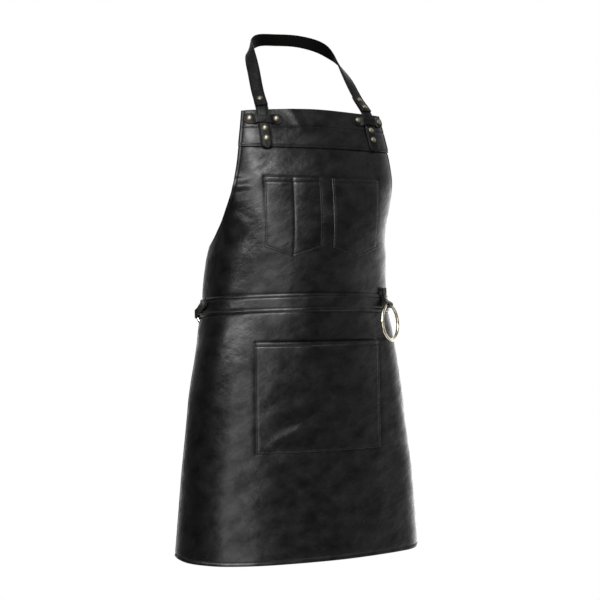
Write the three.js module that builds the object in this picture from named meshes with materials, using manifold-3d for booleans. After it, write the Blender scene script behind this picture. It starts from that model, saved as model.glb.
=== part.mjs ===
// Leather bib apron with a riveted neck strap, three patch pockets and two rings, kept in the shape
// that it has when worn. Millimetres: X points to the wearer's left, Y to the back and Z up.
// The origin is the middle of the neck strap's inner face, where it rests on the nape.
import * as THREE from "three";
import { mergeVertices } from "three/addons/utils/BufferGeometryUtils.js";
import Module from "manifold-3d";

const { clamp, degToRad, lerp, smoothstep } = THREE.MathUtils;

// Leather thicknesses and the clearance between layers that lie on each other
const PANEL = 2;
const STRAP_THICKNESS = 2.6;
const LAYER_GAP = 0.4;
const SEAT_GAP = 0.3;
const POCKET_GAP = 0.6;
const STRAP_GAP = 0.6;

// Heights below the nape
const BIB_TOP = -168;
const ARMHOLE_END = -421;
const WAIST_TOP = -510;
const HEM = -1008;

// Bands sewn on over the panels
const TOP_BAND_HEIGHT = 72;
const WAISTBAND_HEIGHT = 34;
const SEAM_ALLOWANCE = 8; // waistband below the seam that it covers
const WAIST_SEAM = WAIST_TOP - WAISTBAND_HEIGHT + SEAM_ALLOWANCE;
const WAIST_DROP = 13.5; // how far the waist seam falls from the front to the back edges
const TOP_CROWN = 3.5; // rise of the bib's top edge at the centre front
const TOP_CROWN_REACH = 75;
const TOP_CORNER_DROP = 4; // fall of the same edge at the wearer's right corner

// Flat half widths of the leather
const BIB_TOP_HALF_WIDTH = 147;
const WAIST_HALF_WIDTH = 300;
const HEM_HALF_WIDTH = 345;

// Patch pockets
const CHEST_POCKET_WIDTH = 108;
const CHEST_POCKET_INSET = 11.3; // centre front to each pocket's inner edge
const CHEST_POCKET_TOP = -297;
const CHEST_POCKET_SIDE = 128;
const CHEST_POCKET_POINT = 18;
const CHEST_POCKET_SLACK = 1.2;
const SKIRT_POCKET_WIDTH = 260;
const SKIRT_POCKET_TOP = -601;
const SKIRT_POCKET_HEIGHT = 204;
const SKIRT_POCKET_SLACK = 3;

// Neck strap, its tabs and their keepers
const STRAP_WIDTH = 24;
const TAB_ABOVE_BIB = 50;
const STRAP_END_ABOVE_BIB = 5;
const KEEPER_LENGTH = 73;
const KEEPER_END_WIDTH = 20;
const KEEPER_WAIST_WIDTH = 13.5;
const KEEPER_BRIDGE = 2.5; // past the strap's edge before the keeper bends down
const KEEPER_SLOPE = 5;
const ROUND_END_FLAT = 1 / 3; // share of a round end that is cut square

// Rivets
const RIVET_CAP_RADIUS = 6;
const RIVET_CAP_HEIGHT = 2.8;
const RIVET_POST_RADIUS = 2;
const RIVET_BACK_RADIUS = 5;
const RIVET_BACK_HEIGHT = 1;
const RIVET_RIM = 0.25; // upright part of the cap's height
const RIVET_DOME = [0.8, 0.45, 0]; // shares of the cap's radius
const RIVET_SIDES = 10;
const RIVET_HOLE_SIDES = 8;
const RIVET_HOLE_DEPTH = 40;
const KEEPER_RIVET_SPACING = 50;

// Rings and the folded leather tabs that hold them
const RING_RADIUS = 34; // to the middle of the wire
const RING_WIRE_RADIUS = 3.2;
const RING_TAB_WIDTH = 16;
const RING_SIDES = 32;
const RING_WIRE_SIDES = 8;
const FOLD_RADIUS = 4.4;
const FOLD_STEPS = 10;
const RING_RIVET_SLACK = 0.9; // extra length of the ring tabs' rivets, for the bend of the waist
const WAIST_BOW = 2.1; // bow of the waist's back end between the legs of the right ring tab

// Rows and columns of the leather
const PANEL_COLUMNS = 28;
const BAND_ROWS = 3;
const WAISTBAND_ROWS = 2;
const SKIRT_LEVELS = [HEM, -940, -870, -800, -735, -680, -630, -585, -558, -544, WAIST_SEAM - SEAT_GAP];
const CHEST_POCKET_COLUMNS = 8;
const CHEST_POCKET_ROWS = 5;
const SKIRT_POCKET_COLUMNS = 14;
const SKIRT_POCKET_ROWS = 6;
const STRAP_STEPS = 48;
const TAB_STEPS = 16;
const KEEPER_COLUMNS = 20;
const KEEPER_ROWS = 2;

// Layer offsets outward from the panels' outer face
const BAND_BASE = LAYER_GAP;
const BAND_FACE = BAND_BASE + PANEL;
const TAB_BASE = BAND_FACE + STRAP_GAP;
const TAB_FACE = TAB_BASE + STRAP_THICKNESS;

const leather = new THREE.MeshStandardMaterial({ color: 0x18181a, roughness: 0.45, metalness: 0 });
const strapLeather = new THREE.MeshStandardMaterial({ color: 0x131314, roughness: 0.5, metalness: 0 });
const ringBrass = new THREE.MeshStandardMaterial({ color: 0xcfc3a0, roughness: 0.2, metalness: 1 });
const rivetBrass = new THREE.MeshStandardMaterial({ color: 0x7d6a45, roughness: 0.4, metalness: 1 });

// How the leather wraps the body at each height: an almost flat front arc, whose depth, radius and
// half angle are given, that turns into a tighter side arc and then a shallow arc along the side.
const WRAP = [
  { z: -1008, frontDepth: -240, frontRadius: 635, frontAngle: 17, sideRadius: 81 },
  { z: -870, frontDepth: -231, frontRadius: 625, frontAngle: 17, sideRadius: 69 },
  { z: -727, frontDepth: -228, frontRadius: 513, frontAngle: 18.5, sideRadius: 76 },
  { z: -610, frontDepth: -231, frontRadius: 368, frontAngle: 24, sideRadius: 77.5 },
  { z: -550, frontDepth: -235, frontRadius: 284, frontAngle: 29.2, sideRadius: 91 },
  { z: -492, frontDepth: -239, frontRadius: 259, frontAngle: 29.6, sideRadius: 101 },
  { z: -450, frontDepth: -246, frontRadius: 263, frontAngle: 25.7, sideRadius: 108 },
  { z: -397, frontDepth: -254, frontRadius: 280, frontAngle: 19.1, sideRadius: 113 },
  { z: -340, frontDepth: -250, frontRadius: 358, frontAngle: 17.2, sideRadius: 102 },
  { z: -287, frontDepth: -241, frontRadius: 445, frontAngle: 16, sideRadius: 88 },
  { z: -137, frontDepth: -191, frontRadius: 554, frontAngle: 12.8, sideRadius: 62 },
];
const SIDE_HEADING = degToRad(84);
const BACK_RADIUS = 230;

// Flat half width of the bib, down the armhole to where the leather is full width
const ARMHOLE = [
  { z: ARMHOLE_END, halfWidth: 300 },
  { z: -406, halfWidth: 272 },
  { z: -391, halfWidth: 249.5 },
  { z: -377, halfWidth: 229 },
  { z: -349, halfWidth: 202 },
  { z: -320, halfWidth: 185.5 },
  { z: -298, halfWidth: 177 },
  { z: -269, halfWidth: 168.3 },
  { z: -232, halfWidth: 160 },
  { z: BIB_TOP, halfWidth: BIB_TOP_HALF_WIDTH },
];

// Strap tabs by the wearer's side: their way up the bib, the distances of their rivets below the bib's
// top, those of the neck strap's rivets above it, and the middle of the keeper
const STRAP_TABS = [
  {
    hand: "left",
    stops: [
      { across: 117, z: -241.5 },
      { across: 113.5, z: -207 },
      { across: 111.5, z: -183 },
      { across: 109.5, z: BIB_TOP },
    ],
    tabRivets: [33.5, 53],
    strapRivets: [15, 38],
    keeperAcross: 111,
    keeperZ: -182,
  },
  {
    hand: "right",
    stops: [
      { across: -107, z: -243 },
      { across: -107.5, z: -207 },
      { across: -108, z: -183 },
      { across: -108, z: BIB_TOP },
    ],
    tabRivets: [39.5, 59.5],
    strapRivets: [23.5],
    keeperAcross: -108.5,
    keeperZ: -187.5,
  },
];

// Route of the neck strap from the wearer's left shoulder, over the nape, to the right shoulder.
// Facing is the heading of the strap's outer face: 0 is forward, 90 is to the wearer's left and 180
// is backward.
const STRAP_ROUTE = [
  { x: 103.5, y: -163, z: -136, facing: 14 },
  { x: 95.5, y: -129, z: -91, facing: 22 },
  { x: 84, y: -83, z: -41, facing: 62 },
  { x: 72, y: -43, z: -15, facing: 108 },
  { x: 42, y: -13, z: -1, facing: 150 },
  { x: 0, y: -STRAP_THICKNESS - STRAP_GAP, z: 0, facing: 180 },
  { x: -34, y: -13, z: -4.5, facing: 208 },
  { x: -62, y: -43, z: -20, facing: 250 },
  { x: -84, y: -83, z: -43, facing: 298 },
  { x: -98, y: -129, z: -91, facing: 338 },
  { x: -104, y: -163, z: -136, facing: 346 },
];

// Smooth lookup of every column of a table, whose rows rise in z
function smoothTable(rows, columns) {
  const heights = rows.map((row) => row.z);
  const values = rows.flatMap((row) => columns.map((column) => row[column]));
  return new THREE.CubicInterpolant(heights, values, columns.length, new Float64Array(columns.length));
}

const wrapTable = smoothTable(WRAP, ["frontDepth", "frontRadius", "frontAngle", "sideRadius"]);
const armholeTable = smoothTable(ARMHOLE, ["halfWidth"]);

// Point and heading on the wrapped surface, at a flat distance across from the centre front
function wrap(across, z, offset = 0) {
  const [frontDepth, frontRadius, frontAngle, sideRadius] = wrapTable.evaluate(z);
  const turn = degToRad(frontAngle);
  const run = Math.abs(across);
  const frontRun = frontRadius * turn;
  const sideRun = sideRadius * (SIDE_HEADING - turn);
  const onFront = Math.min(run, frontRun) / frontRadius;
  const onSide = turn + clamp(run - frontRun, 0, sideRun) / sideRadius;
  const onBack = SIDE_HEADING + Math.max(run - frontRun - sideRun, 0) / BACK_RADIUS;
  const arcs = [
    [frontRadius, 0, onFront],
    [sideRadius, turn, onSide],
    [BACK_RADIUS, SIDE_HEADING, onBack],
  ];
  let x = 0;
  let y = frontDepth;
  for (const [radius, from, to] of arcs) {
    x += radius * (Math.sin(to) - Math.sin(from));
    y += radius * (Math.cos(from) - Math.cos(to));
  }
  const heading = run <= frontRun ? onFront : Math.max(onSide, run > frontRun + sideRun ? onBack : 0);
  x += offset * Math.sin(heading);
  y -= offset * Math.cos(heading);
  const side = Math.sign(across);
  return { point: new THREE.Vector3(side * x, y, z), heading: side * heading };
}

// Axes of a place on the wrapped surface: along the given flat direction, outward, and across the two
function wrapFrame(across, z, runAcross, runDown) {
  const origin = wrap(across, z).point;
  const along = wrap(across + runAcross, z - runDown).point.sub(origin).normalize();
  const rightward = wrap(across + 1, z).point.sub(wrap(across - 1, z).point);
  const upward = wrap(across, z + 1).point.sub(wrap(across, z - 1).point);
  const out = new THREE.Vector3().crossVectors(rightward, upward);
  out.addScaledVector(along, -out.dot(along)).normalize();
  const width = new THREE.Vector3().crossVectors(along, out);
  return { origin, along, out, width };
}

function bufferGeometry(points, triangles) {
  const geometry = new THREE.BufferGeometry();
  const positions = points.flatMap((point) => point.toArray());
  geometry.setAttribute("position", new THREE.Float32BufferAttribute(positions, 3));
  geometry.setIndex(triangles);
  return geometry;
}

function pushQuad(triangles, a, b, c, d) {
  triangles.push(a, b, c, a, c, d);
}

// A wall of leather: place(u, v) gives the flat position and the offsets of its two faces,
// with u running across and v upward
function sheet(columns, rows, place) {
  const outer = [];
  const inner = [];
  for (let j = 0; j <= rows; j++) {
    for (let i = 0; i <= columns; i++) {
      const { across, z, base, thickness } = place(i / columns, j / rows);
      outer.push(wrap(across, z, base + thickness).point);
      inner.push(wrap(across, z, base).point);
    }
  }
  const triangles = [];
  const outerAt = (i, j) => j * (columns + 1) + i;
  const innerAt = (i, j) => outer.length + outerAt(i, j);
  for (let j = 0; j < rows; j++) {
    for (let i = 0; i < columns; i++) {
      pushQuad(triangles, outerAt(i, j), outerAt(i + 1, j), outerAt(i + 1, j + 1), outerAt(i, j + 1));
      pushQuad(triangles, innerAt(i, j), innerAt(i, j + 1), innerAt(i + 1, j + 1), innerAt(i + 1, j));
    }
  }
  for (let i = 0; i < columns; i++) {
    pushQuad(triangles, innerAt(i, 0), innerAt(i + 1, 0), outerAt(i + 1, 0), outerAt(i, 0));
    pushQuad(triangles, outerAt(i, rows), outerAt(i + 1, rows), innerAt(i + 1, rows), innerAt(i, rows));
  }
  for (let j = 0; j < rows; j++) {
    pushQuad(triangles, innerAt(0, j), outerAt(0, j), outerAt(0, j + 1), innerAt(0, j + 1));
    const end = columns;
    pushQuad(triangles, outerAt(end, j), innerAt(end, j), innerAt(end, j + 1), outerAt(end, j + 1));
  }
  return bufferGeometry([...outer, ...inner], triangles);
}

// A solid through a row of four-cornered sections, capped at both ends
function loft(sections) {
  const corners = 4;
  const triangles = [];
  for (let i = 0; i + 1 < sections.length; i++) {
    for (let k = 0; k < corners; k++) {
      const next = (k + 1) % corners;
      const here = i * corners;
      const there = here + corners;
      pushQuad(triangles, here + k, here + next, there + next, there + k);
    }
  }
  const last = (sections.length - 1) * corners;
  pushQuad(triangles, 0, 3, 2, 1);
  pushQuad(triangles, last, last + 1, last + 2, last + 3);
  return bufferGeometry(sections.flat(), triangles);
}

const wasm = await Module();
wasm.setup();

function solid(geometry) {
  const bare = new THREE.BufferGeometry();
  bare.setAttribute("position", geometry.getAttribute("position"));
  bare.setIndex(geometry.getIndex());
  const merged = mergeVertices(bare, 1e-4);
  const vertProperties = new Float32Array(merged.getAttribute("position").array);
  const triVerts = new Uint32Array(merged.getIndex().array);
  return new wasm.Manifold(new wasm.Mesh({ numProp: 3, vertProperties, triVerts }));
}

// The same leather with a clear hole for every rivet that passes through it
function bored(geometry, rivets) {
  let piece = solid(geometry);
  for (const rivet of rivets) {
    const radius = RIVET_POST_RADIUS + SEAT_GAP;
    const drill = new THREE.CylinderGeometry(radius, radius, RIVET_HOLE_DEPTH, RIVET_HOLE_SIDES);
    drill.applyMatrix4(new THREE.Matrix4().compose(rivet.seat, rivet.turn, new THREE.Vector3(1, 1, 1)));
    piece = piece.subtract(solid(drill));
  }
  const mesh = piece.getMesh();
  const geometryOut = new THREE.BufferGeometry();
  geometryOut.setAttribute("position", new THREE.Float32BufferAttribute(mesh.vertProperties, 3));
  geometryOut.setIndex(Array.from(mesh.triVerts));
  return geometryOut;
}

// Where a rivet sits: its cap's seat, the direction that it faces and how much leather it clamps
function rivetPlace(origin, out, face, grip) {
  const seat = origin.clone().addScaledVector(out, face + SEAT_GAP);
  const turn = new THREE.Quaternion().setFromUnitVectors(new THREE.Vector3(0, 1, 0), out);
  return { seat, turn, grip: grip + 2 * SEAT_GAP };
}

// Drop of the waist seam below its height at the centre front
function waistDrop(across) {
  return WAIST_DROP * (across / WAIST_HALF_WIDTH) ** 2;
}

// Rise of the bib's top edge above its nominal height, fading out down the top band
function topRise(across, level) {
  const crown = TOP_CROWN * Math.exp(-((across / TOP_CROWN_REACH) ** 2));
  const corner = TOP_CORNER_DROP * Math.max(-across / BIB_TOP_HALF_WIDTH, 0) ** 3;
  return (crown - corner) * smoothstep(level, BIB_TOP - TOP_BAND_HEIGHT, BIB_TOP);
}

// Neck strap route from the tip of one tab, over the nape, to the tip of the other
function onBib({ across, z }, turns) {
  const { point, heading } = wrap(across, z, TAB_BASE);
  return { x: point.x, y: point.y, z, facing: turns * 360 + THREE.MathUtils.radToDeg(heading) };
}

const [leftTab, rightTab] = STRAP_TABS;
const leftStops = leftTab.stops.map((stop) => onBib(stop, 0));
const rightStops = rightTab.stops.map((stop) => onBib(stop, 1)).reverse();
const route = [...leftStops, ...STRAP_ROUTE, ...rightStops];
const strapCurve = new THREE.CatmullRomCurve3(route.map(({ x, y, z }) => new THREE.Vector3(x, y, z)));
const facingCurve = new THREE.SplineCurve(route.map(({ facing }) => new THREE.Vector2(facing, 0)));
strapCurve.arcLengthDivisions = 2000;
const strapLength = strapCurve.getLength();

// Place on the strap at a distance along its route
function strapFrame(distance) {
  const t = strapCurve.getUtoTmapping(0, distance);
  const origin = strapCurve.getPoint(t);
  const along = strapCurve.getTangent(t);
  const facing = degToRad(facingCurve.getPoint(t).x);
  const out = new THREE.Vector3(Math.sin(facing), -Math.cos(facing), 0);
  out.addScaledVector(along, -out.dot(along)).normalize();
  const width = new THREE.Vector3().crossVectors(along, out);
  return { origin, along, out, width };
}

// Distance along the route from the left tip to the place on a side that is this far above the bib
function strapDistance(hand, above) {
  const fromLeft = (run) => (hand === "left" ? run : strapLength - run);
  const step = 0.1;
  let run = 0;
  while (strapFrame(fromLeft(run)).origin.z < BIB_TOP) {
    run += step;
  }
  return fromLeft(run + above);
}

// A flat strip along the strap's route, with a round end at its start where asked
function strip(from, to, steps, base, roundStart) {
  const halfWidth = STRAP_WIDTH / 2;
  const sections = [];
  for (let i = 0; i <= steps; i++) {
    const distance = lerp(from, to, i / steps);
    const fromEnd = Math.abs(distance - roundStart);
    const inRound = Math.max(halfWidth - fromEnd, 0);
    const half = Math.max(Math.sqrt(halfWidth ** 2 - inRound ** 2), halfWidth * ROUND_END_FLAT);
    const { origin, out, width } = strapFrame(distance);
    const face = base + STRAP_THICKNESS;
    const corner = (depth, side) =>
      origin.clone().addScaledVector(out, depth).addScaledVector(width, side * half);
    sections.push([corner(face, -1), corner(face, 1), corner(base, 1), corner(base, -1)]);
  }
  return loft(sections);
}

// Rivets, by the pieces that they hold
function keeperRivets({ keeperAcross, keeperZ }) {
  return [-1, 1].map((end) => {
    const across = keeperAcross + (end * KEEPER_RIVET_SPACING) / 2;
    const { origin, out } = wrapFrame(across, keeperZ, 0, 1);
    return rivetPlace(origin, out, TAB_BASE + PANEL, TAB_BASE + 2 * PANEL);
  });
}

function tabRivets(tab) {
  return tab.tabRivets.map((below) => {
    const { origin, out } = strapFrame(strapDistance(tab.hand, -below));
    return rivetPlace(origin, out, STRAP_THICKNESS, TAB_FACE + PANEL);
  });
}

function strapRivets(tab) {
  return tab.strapRivets.map((above) => {
    const { origin, out } = strapFrame(strapDistance(tab.hand, above));
    const face = 2 * STRAP_THICKNESS + STRAP_GAP;
    return rivetPlace(origin, out, face, face);
  });
}

// Folded tab of each ring: where its rivet sits, the way the tab runs from it, the inner faces of
// its two legs, how far its tail reaches past the rivet, the middle of the fold, and which way the
// ring lies from the fold. The left tab lies on the waistband, the right one grips its back end.
const LEFT_RING_TAB = {
  across: 150,
  z: -519.5,
  runAcross: 0,
  runDown: 30,
  innerLeg: TAB_BASE + PANEL,
  outerLeg: TAB_BASE + PANEL + SEAT_GAP,
  tail: 18.5,
  straight: 6,
  foldAlong: 15,
  foldOut: 13.5,
  ringAlong: 1,
  ringOut: 0.05,
};
const RIGHT_RING_TAB = {
  across: -252,
  z: -530.6,
  runAcross: -56,
  runDown: 19.4,
  innerLeg: -PANEL - WAIST_BOW,
  outerLeg: TAB_BASE + WAIST_BOW,
  tail: 9,
  straight: 52,
  foldAlong: 61,
  foldOut: 2,
  ringAlong: 0,
  ringOut: -1,
};

function ringTabFrame(tab) {
  return wrapFrame(tab.across, tab.z, tab.runAcross, tab.runDown);
}

function ringTabRivet(tab) {
  const { origin, out } = ringTabFrame(tab);
  const face = tab.outerLeg + PANEL;
  const back = Math.min(tab.innerLeg - PANEL, -PANEL);
  return rivetPlace(origin, out, face, face - back + RING_RIVET_SLACK);
}

// Outline of the folded strip in the plane of its run: out along one leg, round the fold and back
function foldOutline(tab) {
  const { innerLeg, outerLeg, tail, straight, foldAlong, foldOut } = tab;
  const middle = (innerLeg + outerLeg) / 2;
  const lean = Math.atan2(foldOut - middle, foldAlong - straight);
  const arc = (radius) => {
    const points = [];
    for (let i = 0; i <= FOLD_STEPS; i++) {
      const angle = lean + Math.PI * (0.5 - i / FOLD_STEPS);
      const along = foldAlong + radius * Math.cos(angle);
      points.push(new THREE.Vector2(along, foldOut + radius * Math.sin(angle)));
    }
    return points;
  };
  const leg = (height) => [new THREE.Vector2(-tail, height), new THREE.Vector2(straight, height)];
  return [
    ...leg(outerLeg + PANEL),
    ...arc(FOLD_RADIUS + PANEL),
    ...leg(innerLeg - PANEL).reverse(),
    ...leg(innerLeg),
    ...arc(FOLD_RADIUS).reverse(),
    ...leg(outerLeg).reverse(),
  ];
}

function ringTab(tab) {
  const { origin, along, out, width } = ringTabFrame(tab);
  const shape = new THREE.Shape(foldOutline(tab));
  const geometry = new THREE.ExtrudeGeometry(shape, { depth: RING_TAB_WIDTH, bevelEnabled: false });
  geometry.translate(0, 0, -RING_TAB_WIDTH / 2);
  geometry.applyMatrix4(new THREE.Matrix4().makeBasis(along, out, width).setPosition(origin));
  return bored(geometry, [ringTabRivet(tab)]);
}

// A ring through the fold
function ringMesh(name, tab) {
  const { origin, along, out, width } = ringTabFrame(tab);
  const fold = origin.clone().addScaledVector(along, tab.foldAlong).addScaledVector(out, tab.foldOut);
  const hang = along.clone().multiplyScalar(tab.ringAlong).addScaledVector(out, tab.ringOut).normalize();
  const bow = (RING_TAB_WIDTH / 2) ** 2 / (4 * RING_RADIUS); // half of the wire's bow inside the fold
  const middle = fold.clone().addScaledVector(hang, RING_RADIUS - bow);
  const wire = new THREE.TorusGeometry(RING_RADIUS, RING_WIRE_RADIUS, RING_WIRE_SIDES, RING_SIDES);
  const mesh = new THREE.Mesh(wire, ringBrass);
  mesh.name = name;
  const facing = new THREE.Vector3().crossVectors(width, hang);
  mesh.quaternion.setFromRotationMatrix(new THREE.Matrix4().makeBasis(width, hang, facing));
  mesh.position.copy(middle);
  return mesh;
}

const apron = new THREE.Group();
apron.name = "leather_apron";

function addPiece(name, geometry, material) {
  const mesh = new THREE.Mesh(geometry, material);
  mesh.name = name;
  apron.add(mesh);
}

// Bib panel, from the top edge down the armholes to the seam under the waistband
const bandRivets = STRAP_TABS.flatMap((tab) => [...keeperRivets(tab), ...tabRivets(tab)]);
const ringRivets = [LEFT_RING_TAB, RIGHT_RING_TAB].map(ringTabRivet);
const bandRows = Array.from({ length: BAND_ROWS + 1 }, (_, i) => BIB_TOP - (TOP_BAND_HEIGHT * i) / BAND_ROWS);
const armholeRows = ARMHOLE.map((row) => row.z).filter((z) => z < BIB_TOP - TOP_BAND_HEIGHT);
const waistRows = [-465, WAIST_TOP, WAIST_TOP - WAISTBAND_HEIGHT / WAISTBAND_ROWS, WAIST_SEAM];
const bibRows = [...bandRows, ...armholeRows, ...waistRows].sort((a, b) => a - b);

function bibPlace(u, v) {
  const row = Math.round(v * (bibRows.length - 1));
  const level = bibRows[row];
  const halfWidth = level > ARMHOLE_END ? armholeTable.evaluate(level)[0] : WAIST_HALF_WIDTH;
  const across = lerp(-halfWidth, halfWidth, u);
  const sag = smoothstep(-level, -ARMHOLE_END, -WAIST_TOP);
  const z = level + topRise(across, level) - sag * waistDrop(across);
  return { across, z, base: -PANEL, thickness: PANEL };
}

const bib = sheet(PANEL_COLUMNS, bibRows.length - 1, bibPlace);
addPiece("bib_panel", bored(bib, [...bandRivets, ...ringRivets]), leather);

// Skirt panel, from the seam under the waistband to the hem
const skirtRows = SKIRT_LEVELS.length - 1;

function skirtPlace(u, v) {
  const level = SKIRT_LEVELS[Math.round(v * skirtRows)];
  const rise = (level - HEM) / (WAIST_SEAM - HEM);
  const halfWidth = lerp(HEM_HALF_WIDTH, WAIST_HALF_WIDTH, rise);
  const across = lerp(-halfWidth, halfWidth, u);
  return { across, z: level - rise ** 3 * waistDrop(across), base: -PANEL, thickness: PANEL };
}

addPiece("skirt_panel", sheet(PANEL_COLUMNS, skirtRows, skirtPlace), leather);

// Top band, sewn over the head of the bib
function topBandPlace(u, v) {
  const level = lerp(BIB_TOP - TOP_BAND_HEIGHT, BIB_TOP, v);
  const halfWidth = armholeTable.evaluate(level)[0];
  const across = lerp(-halfWidth, halfWidth, u);
  return { across, z: level + topRise(across, level), base: BAND_BASE, thickness: PANEL };
}

addPiece("top_band", bored(sheet(PANEL_COLUMNS, BAND_ROWS, topBandPlace), bandRivets), leather);

// Waistband, sewn over the seam between bib and skirt
function waistbandPlace(u, v) {
  const across = lerp(-WAIST_HALF_WIDTH, WAIST_HALF_WIDTH, u);
  const z = lerp(WAIST_TOP - WAISTBAND_HEIGHT, WAIST_TOP, v) - waistDrop(across);
  return { across, z, base: BAND_BASE, thickness: PANEL };
}

addPiece("waistband", bored(sheet(PANEL_COLUMNS, WAISTBAND_ROWS, waistbandPlace), ringRivets), leather);

// Patch pockets, sewn down at the sides and the foot and a little slack at the mouth
function pocketSlack(u, v, slack) {
  return POCKET_GAP + slack * Math.sin(Math.PI * u) * v ** 2;
}

function chestPocketPlace(side) {
  return (u, v) => {
    const run = side > 0 ? u : 1 - u;
    const across = side * (CHEST_POCKET_INSET + CHEST_POCKET_WIDTH * run);
    const foot = CHEST_POCKET_TOP - CHEST_POCKET_SIDE - CHEST_POCKET_POINT * (1 - Math.abs(2 * u - 1));
    const base = pocketSlack(u, v, CHEST_POCKET_SLACK);
    return { across, z: lerp(foot, CHEST_POCKET_TOP, v), base, thickness: PANEL };
  };
}

addPiece("chest_pocket", sheet(CHEST_POCKET_COLUMNS, CHEST_POCKET_ROWS, chestPocketPlace(1)), leather);
addPiece("pen_pocket", sheet(CHEST_POCKET_COLUMNS, CHEST_POCKET_ROWS, chestPocketPlace(-1)), leather);

function skirtPocketPlace(u, v) {
  const across = SKIRT_POCKET_WIDTH * (u - 0.5);
  const z = SKIRT_POCKET_TOP - SKIRT_POCKET_HEIGHT * (1 - v);
  return { across, z, base: pocketSlack(u, v, SKIRT_POCKET_SLACK), thickness: PANEL };
}

addPiece("skirt_pocket", sheet(SKIRT_POCKET_COLUMNS, SKIRT_POCKET_ROWS, skirtPocketPlace), leather);

// Neck strap, riveted over the upper ends of the two tabs
const NO_ROUND_END = Infinity;
const strapEnds = STRAP_TABS.map((tab) => strapDistance(tab.hand, STRAP_END_ABOVE_BIB));
const strap = strip(...strapEnds, STRAP_STEPS, STRAP_THICKNESS + STRAP_GAP, NO_ROUND_END);
addPiece("neck_strap", bored(strap, STRAP_TABS.flatMap(strapRivets)), strapLeather);

// Strap tabs, riveted to the bib, with a round lower end
function strapTab(tab) {
  const top = strapDistance(tab.hand, TAB_ABOVE_BIB);
  const tip = tab.hand === "left" ? 0 : strapLength;
  const geometry = strip(Math.min(tip, top), Math.max(tip, top), TAB_STEPS, 0, tip);
  return bored(geometry, [...tabRivets(tab), ...strapRivets(tab)]);
}

// Keepers, short cross straps that hold the tabs down at the bib's top edge
function keeper(tab) {
  const bridge = STRAP_WIDTH / 2 + KEEPER_BRIDGE;
  const round = KEEPER_END_WIDTH / 2;
  const place = (u, v) => {
    const run = KEEPER_LENGTH * (u - 0.5);
    const fromEnd = KEEPER_LENGTH / 2 - Math.abs(run);
    const inRound = Math.max(round - fromEnd, 0);
    const endWidth = 2 * Math.max(Math.sqrt(round ** 2 - inRound ** 2), round * ROUND_END_FLAT);
    const rise = 1 - smoothstep(Math.abs(run), bridge, bridge + KEEPER_SLOPE);
    const width = Math.min(endWidth, lerp(KEEPER_END_WIDTH, KEEPER_WAIST_WIDTH, rise));
    return {
      across: tab.keeperAcross + run,
      z: tab.keeperZ + width * (v - 0.5),
      base: TAB_BASE + rise * (STRAP_THICKNESS + STRAP_GAP + LAYER_GAP),
      thickness: PANEL,
    };
  };
  return bored(sheet(KEEPER_COLUMNS, KEEPER_ROWS, place), keeperRivets(tab));
}

// Domed rivet with its post and back cap
function rivetMesh(name, place) {
  const dome = RIVET_DOME.map((share) => {
    const height = RIVET_CAP_HEIGHT * Math.sqrt(1 - share ** 2);
    return new THREE.Vector2(RIVET_CAP_RADIUS * share, height);
  });
  const foot = -place.grip;
  const profile = [
    new THREE.Vector2(0, foot - RIVET_BACK_HEIGHT),
    new THREE.Vector2(RIVET_BACK_RADIUS, foot - RIVET_BACK_HEIGHT),
    new THREE.Vector2(RIVET_BACK_RADIUS, foot),
    new THREE.Vector2(RIVET_POST_RADIUS, foot),
    new THREE.Vector2(RIVET_POST_RADIUS, 0),
    new THREE.Vector2(RIVET_CAP_RADIUS, 0),
    new THREE.Vector2(RIVET_CAP_RADIUS, RIVET_CAP_HEIGHT * RIVET_RIM),
    ...dome,
  ];
  const mesh = new THREE.Mesh(new THREE.LatheGeometry(profile, RIVET_SIDES), rivetBrass);
  mesh.name = name;
  mesh.position.copy(place.seat);
  mesh.quaternion.copy(place.turn);
  return mesh;
}

for (const tab of STRAP_TABS) {
  addPiece(`strap_tab_${tab.hand}`, strapTab(tab), strapLeather);
  addPiece(`strap_keeper_${tab.hand}`, keeper(tab), strapLeather);
  const rivets = { keeper: keeperRivets(tab), tab: tabRivets(tab), strap: strapRivets(tab) };
  for (const [kind, places] of Object.entries(rivets)) {
    places.forEach((place, index) => apron.add(rivetMesh(`${kind}_rivet_${tab.hand}_${index + 1}`, place)));
  }
}

// Ring tabs, their rivets and rings. The left ring hangs against the skirt, the right one points
// inward behind the back edge.
addPiece("ring_tab_left", ringTab(LEFT_RING_TAB), strapLeather);
addPiece("ring_tab_right", ringTab(RIGHT_RING_TAB), strapLeather);
apron.add(rivetMesh("ring_rivet_left", ringTabRivet(LEFT_RING_TAB)));
apron.add(rivetMesh("ring_rivet_right", ringTabRivet(RIGHT_RING_TAB)));
apron.add(ringMesh("ring_left", LEFT_RING_TAB));
apron.add(ringMesh("ring_right", RIGHT_RING_TAB));

export default apron;
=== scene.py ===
import math

import bpy
import numpy as np
from mathutils import Matrix, Vector


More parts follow.
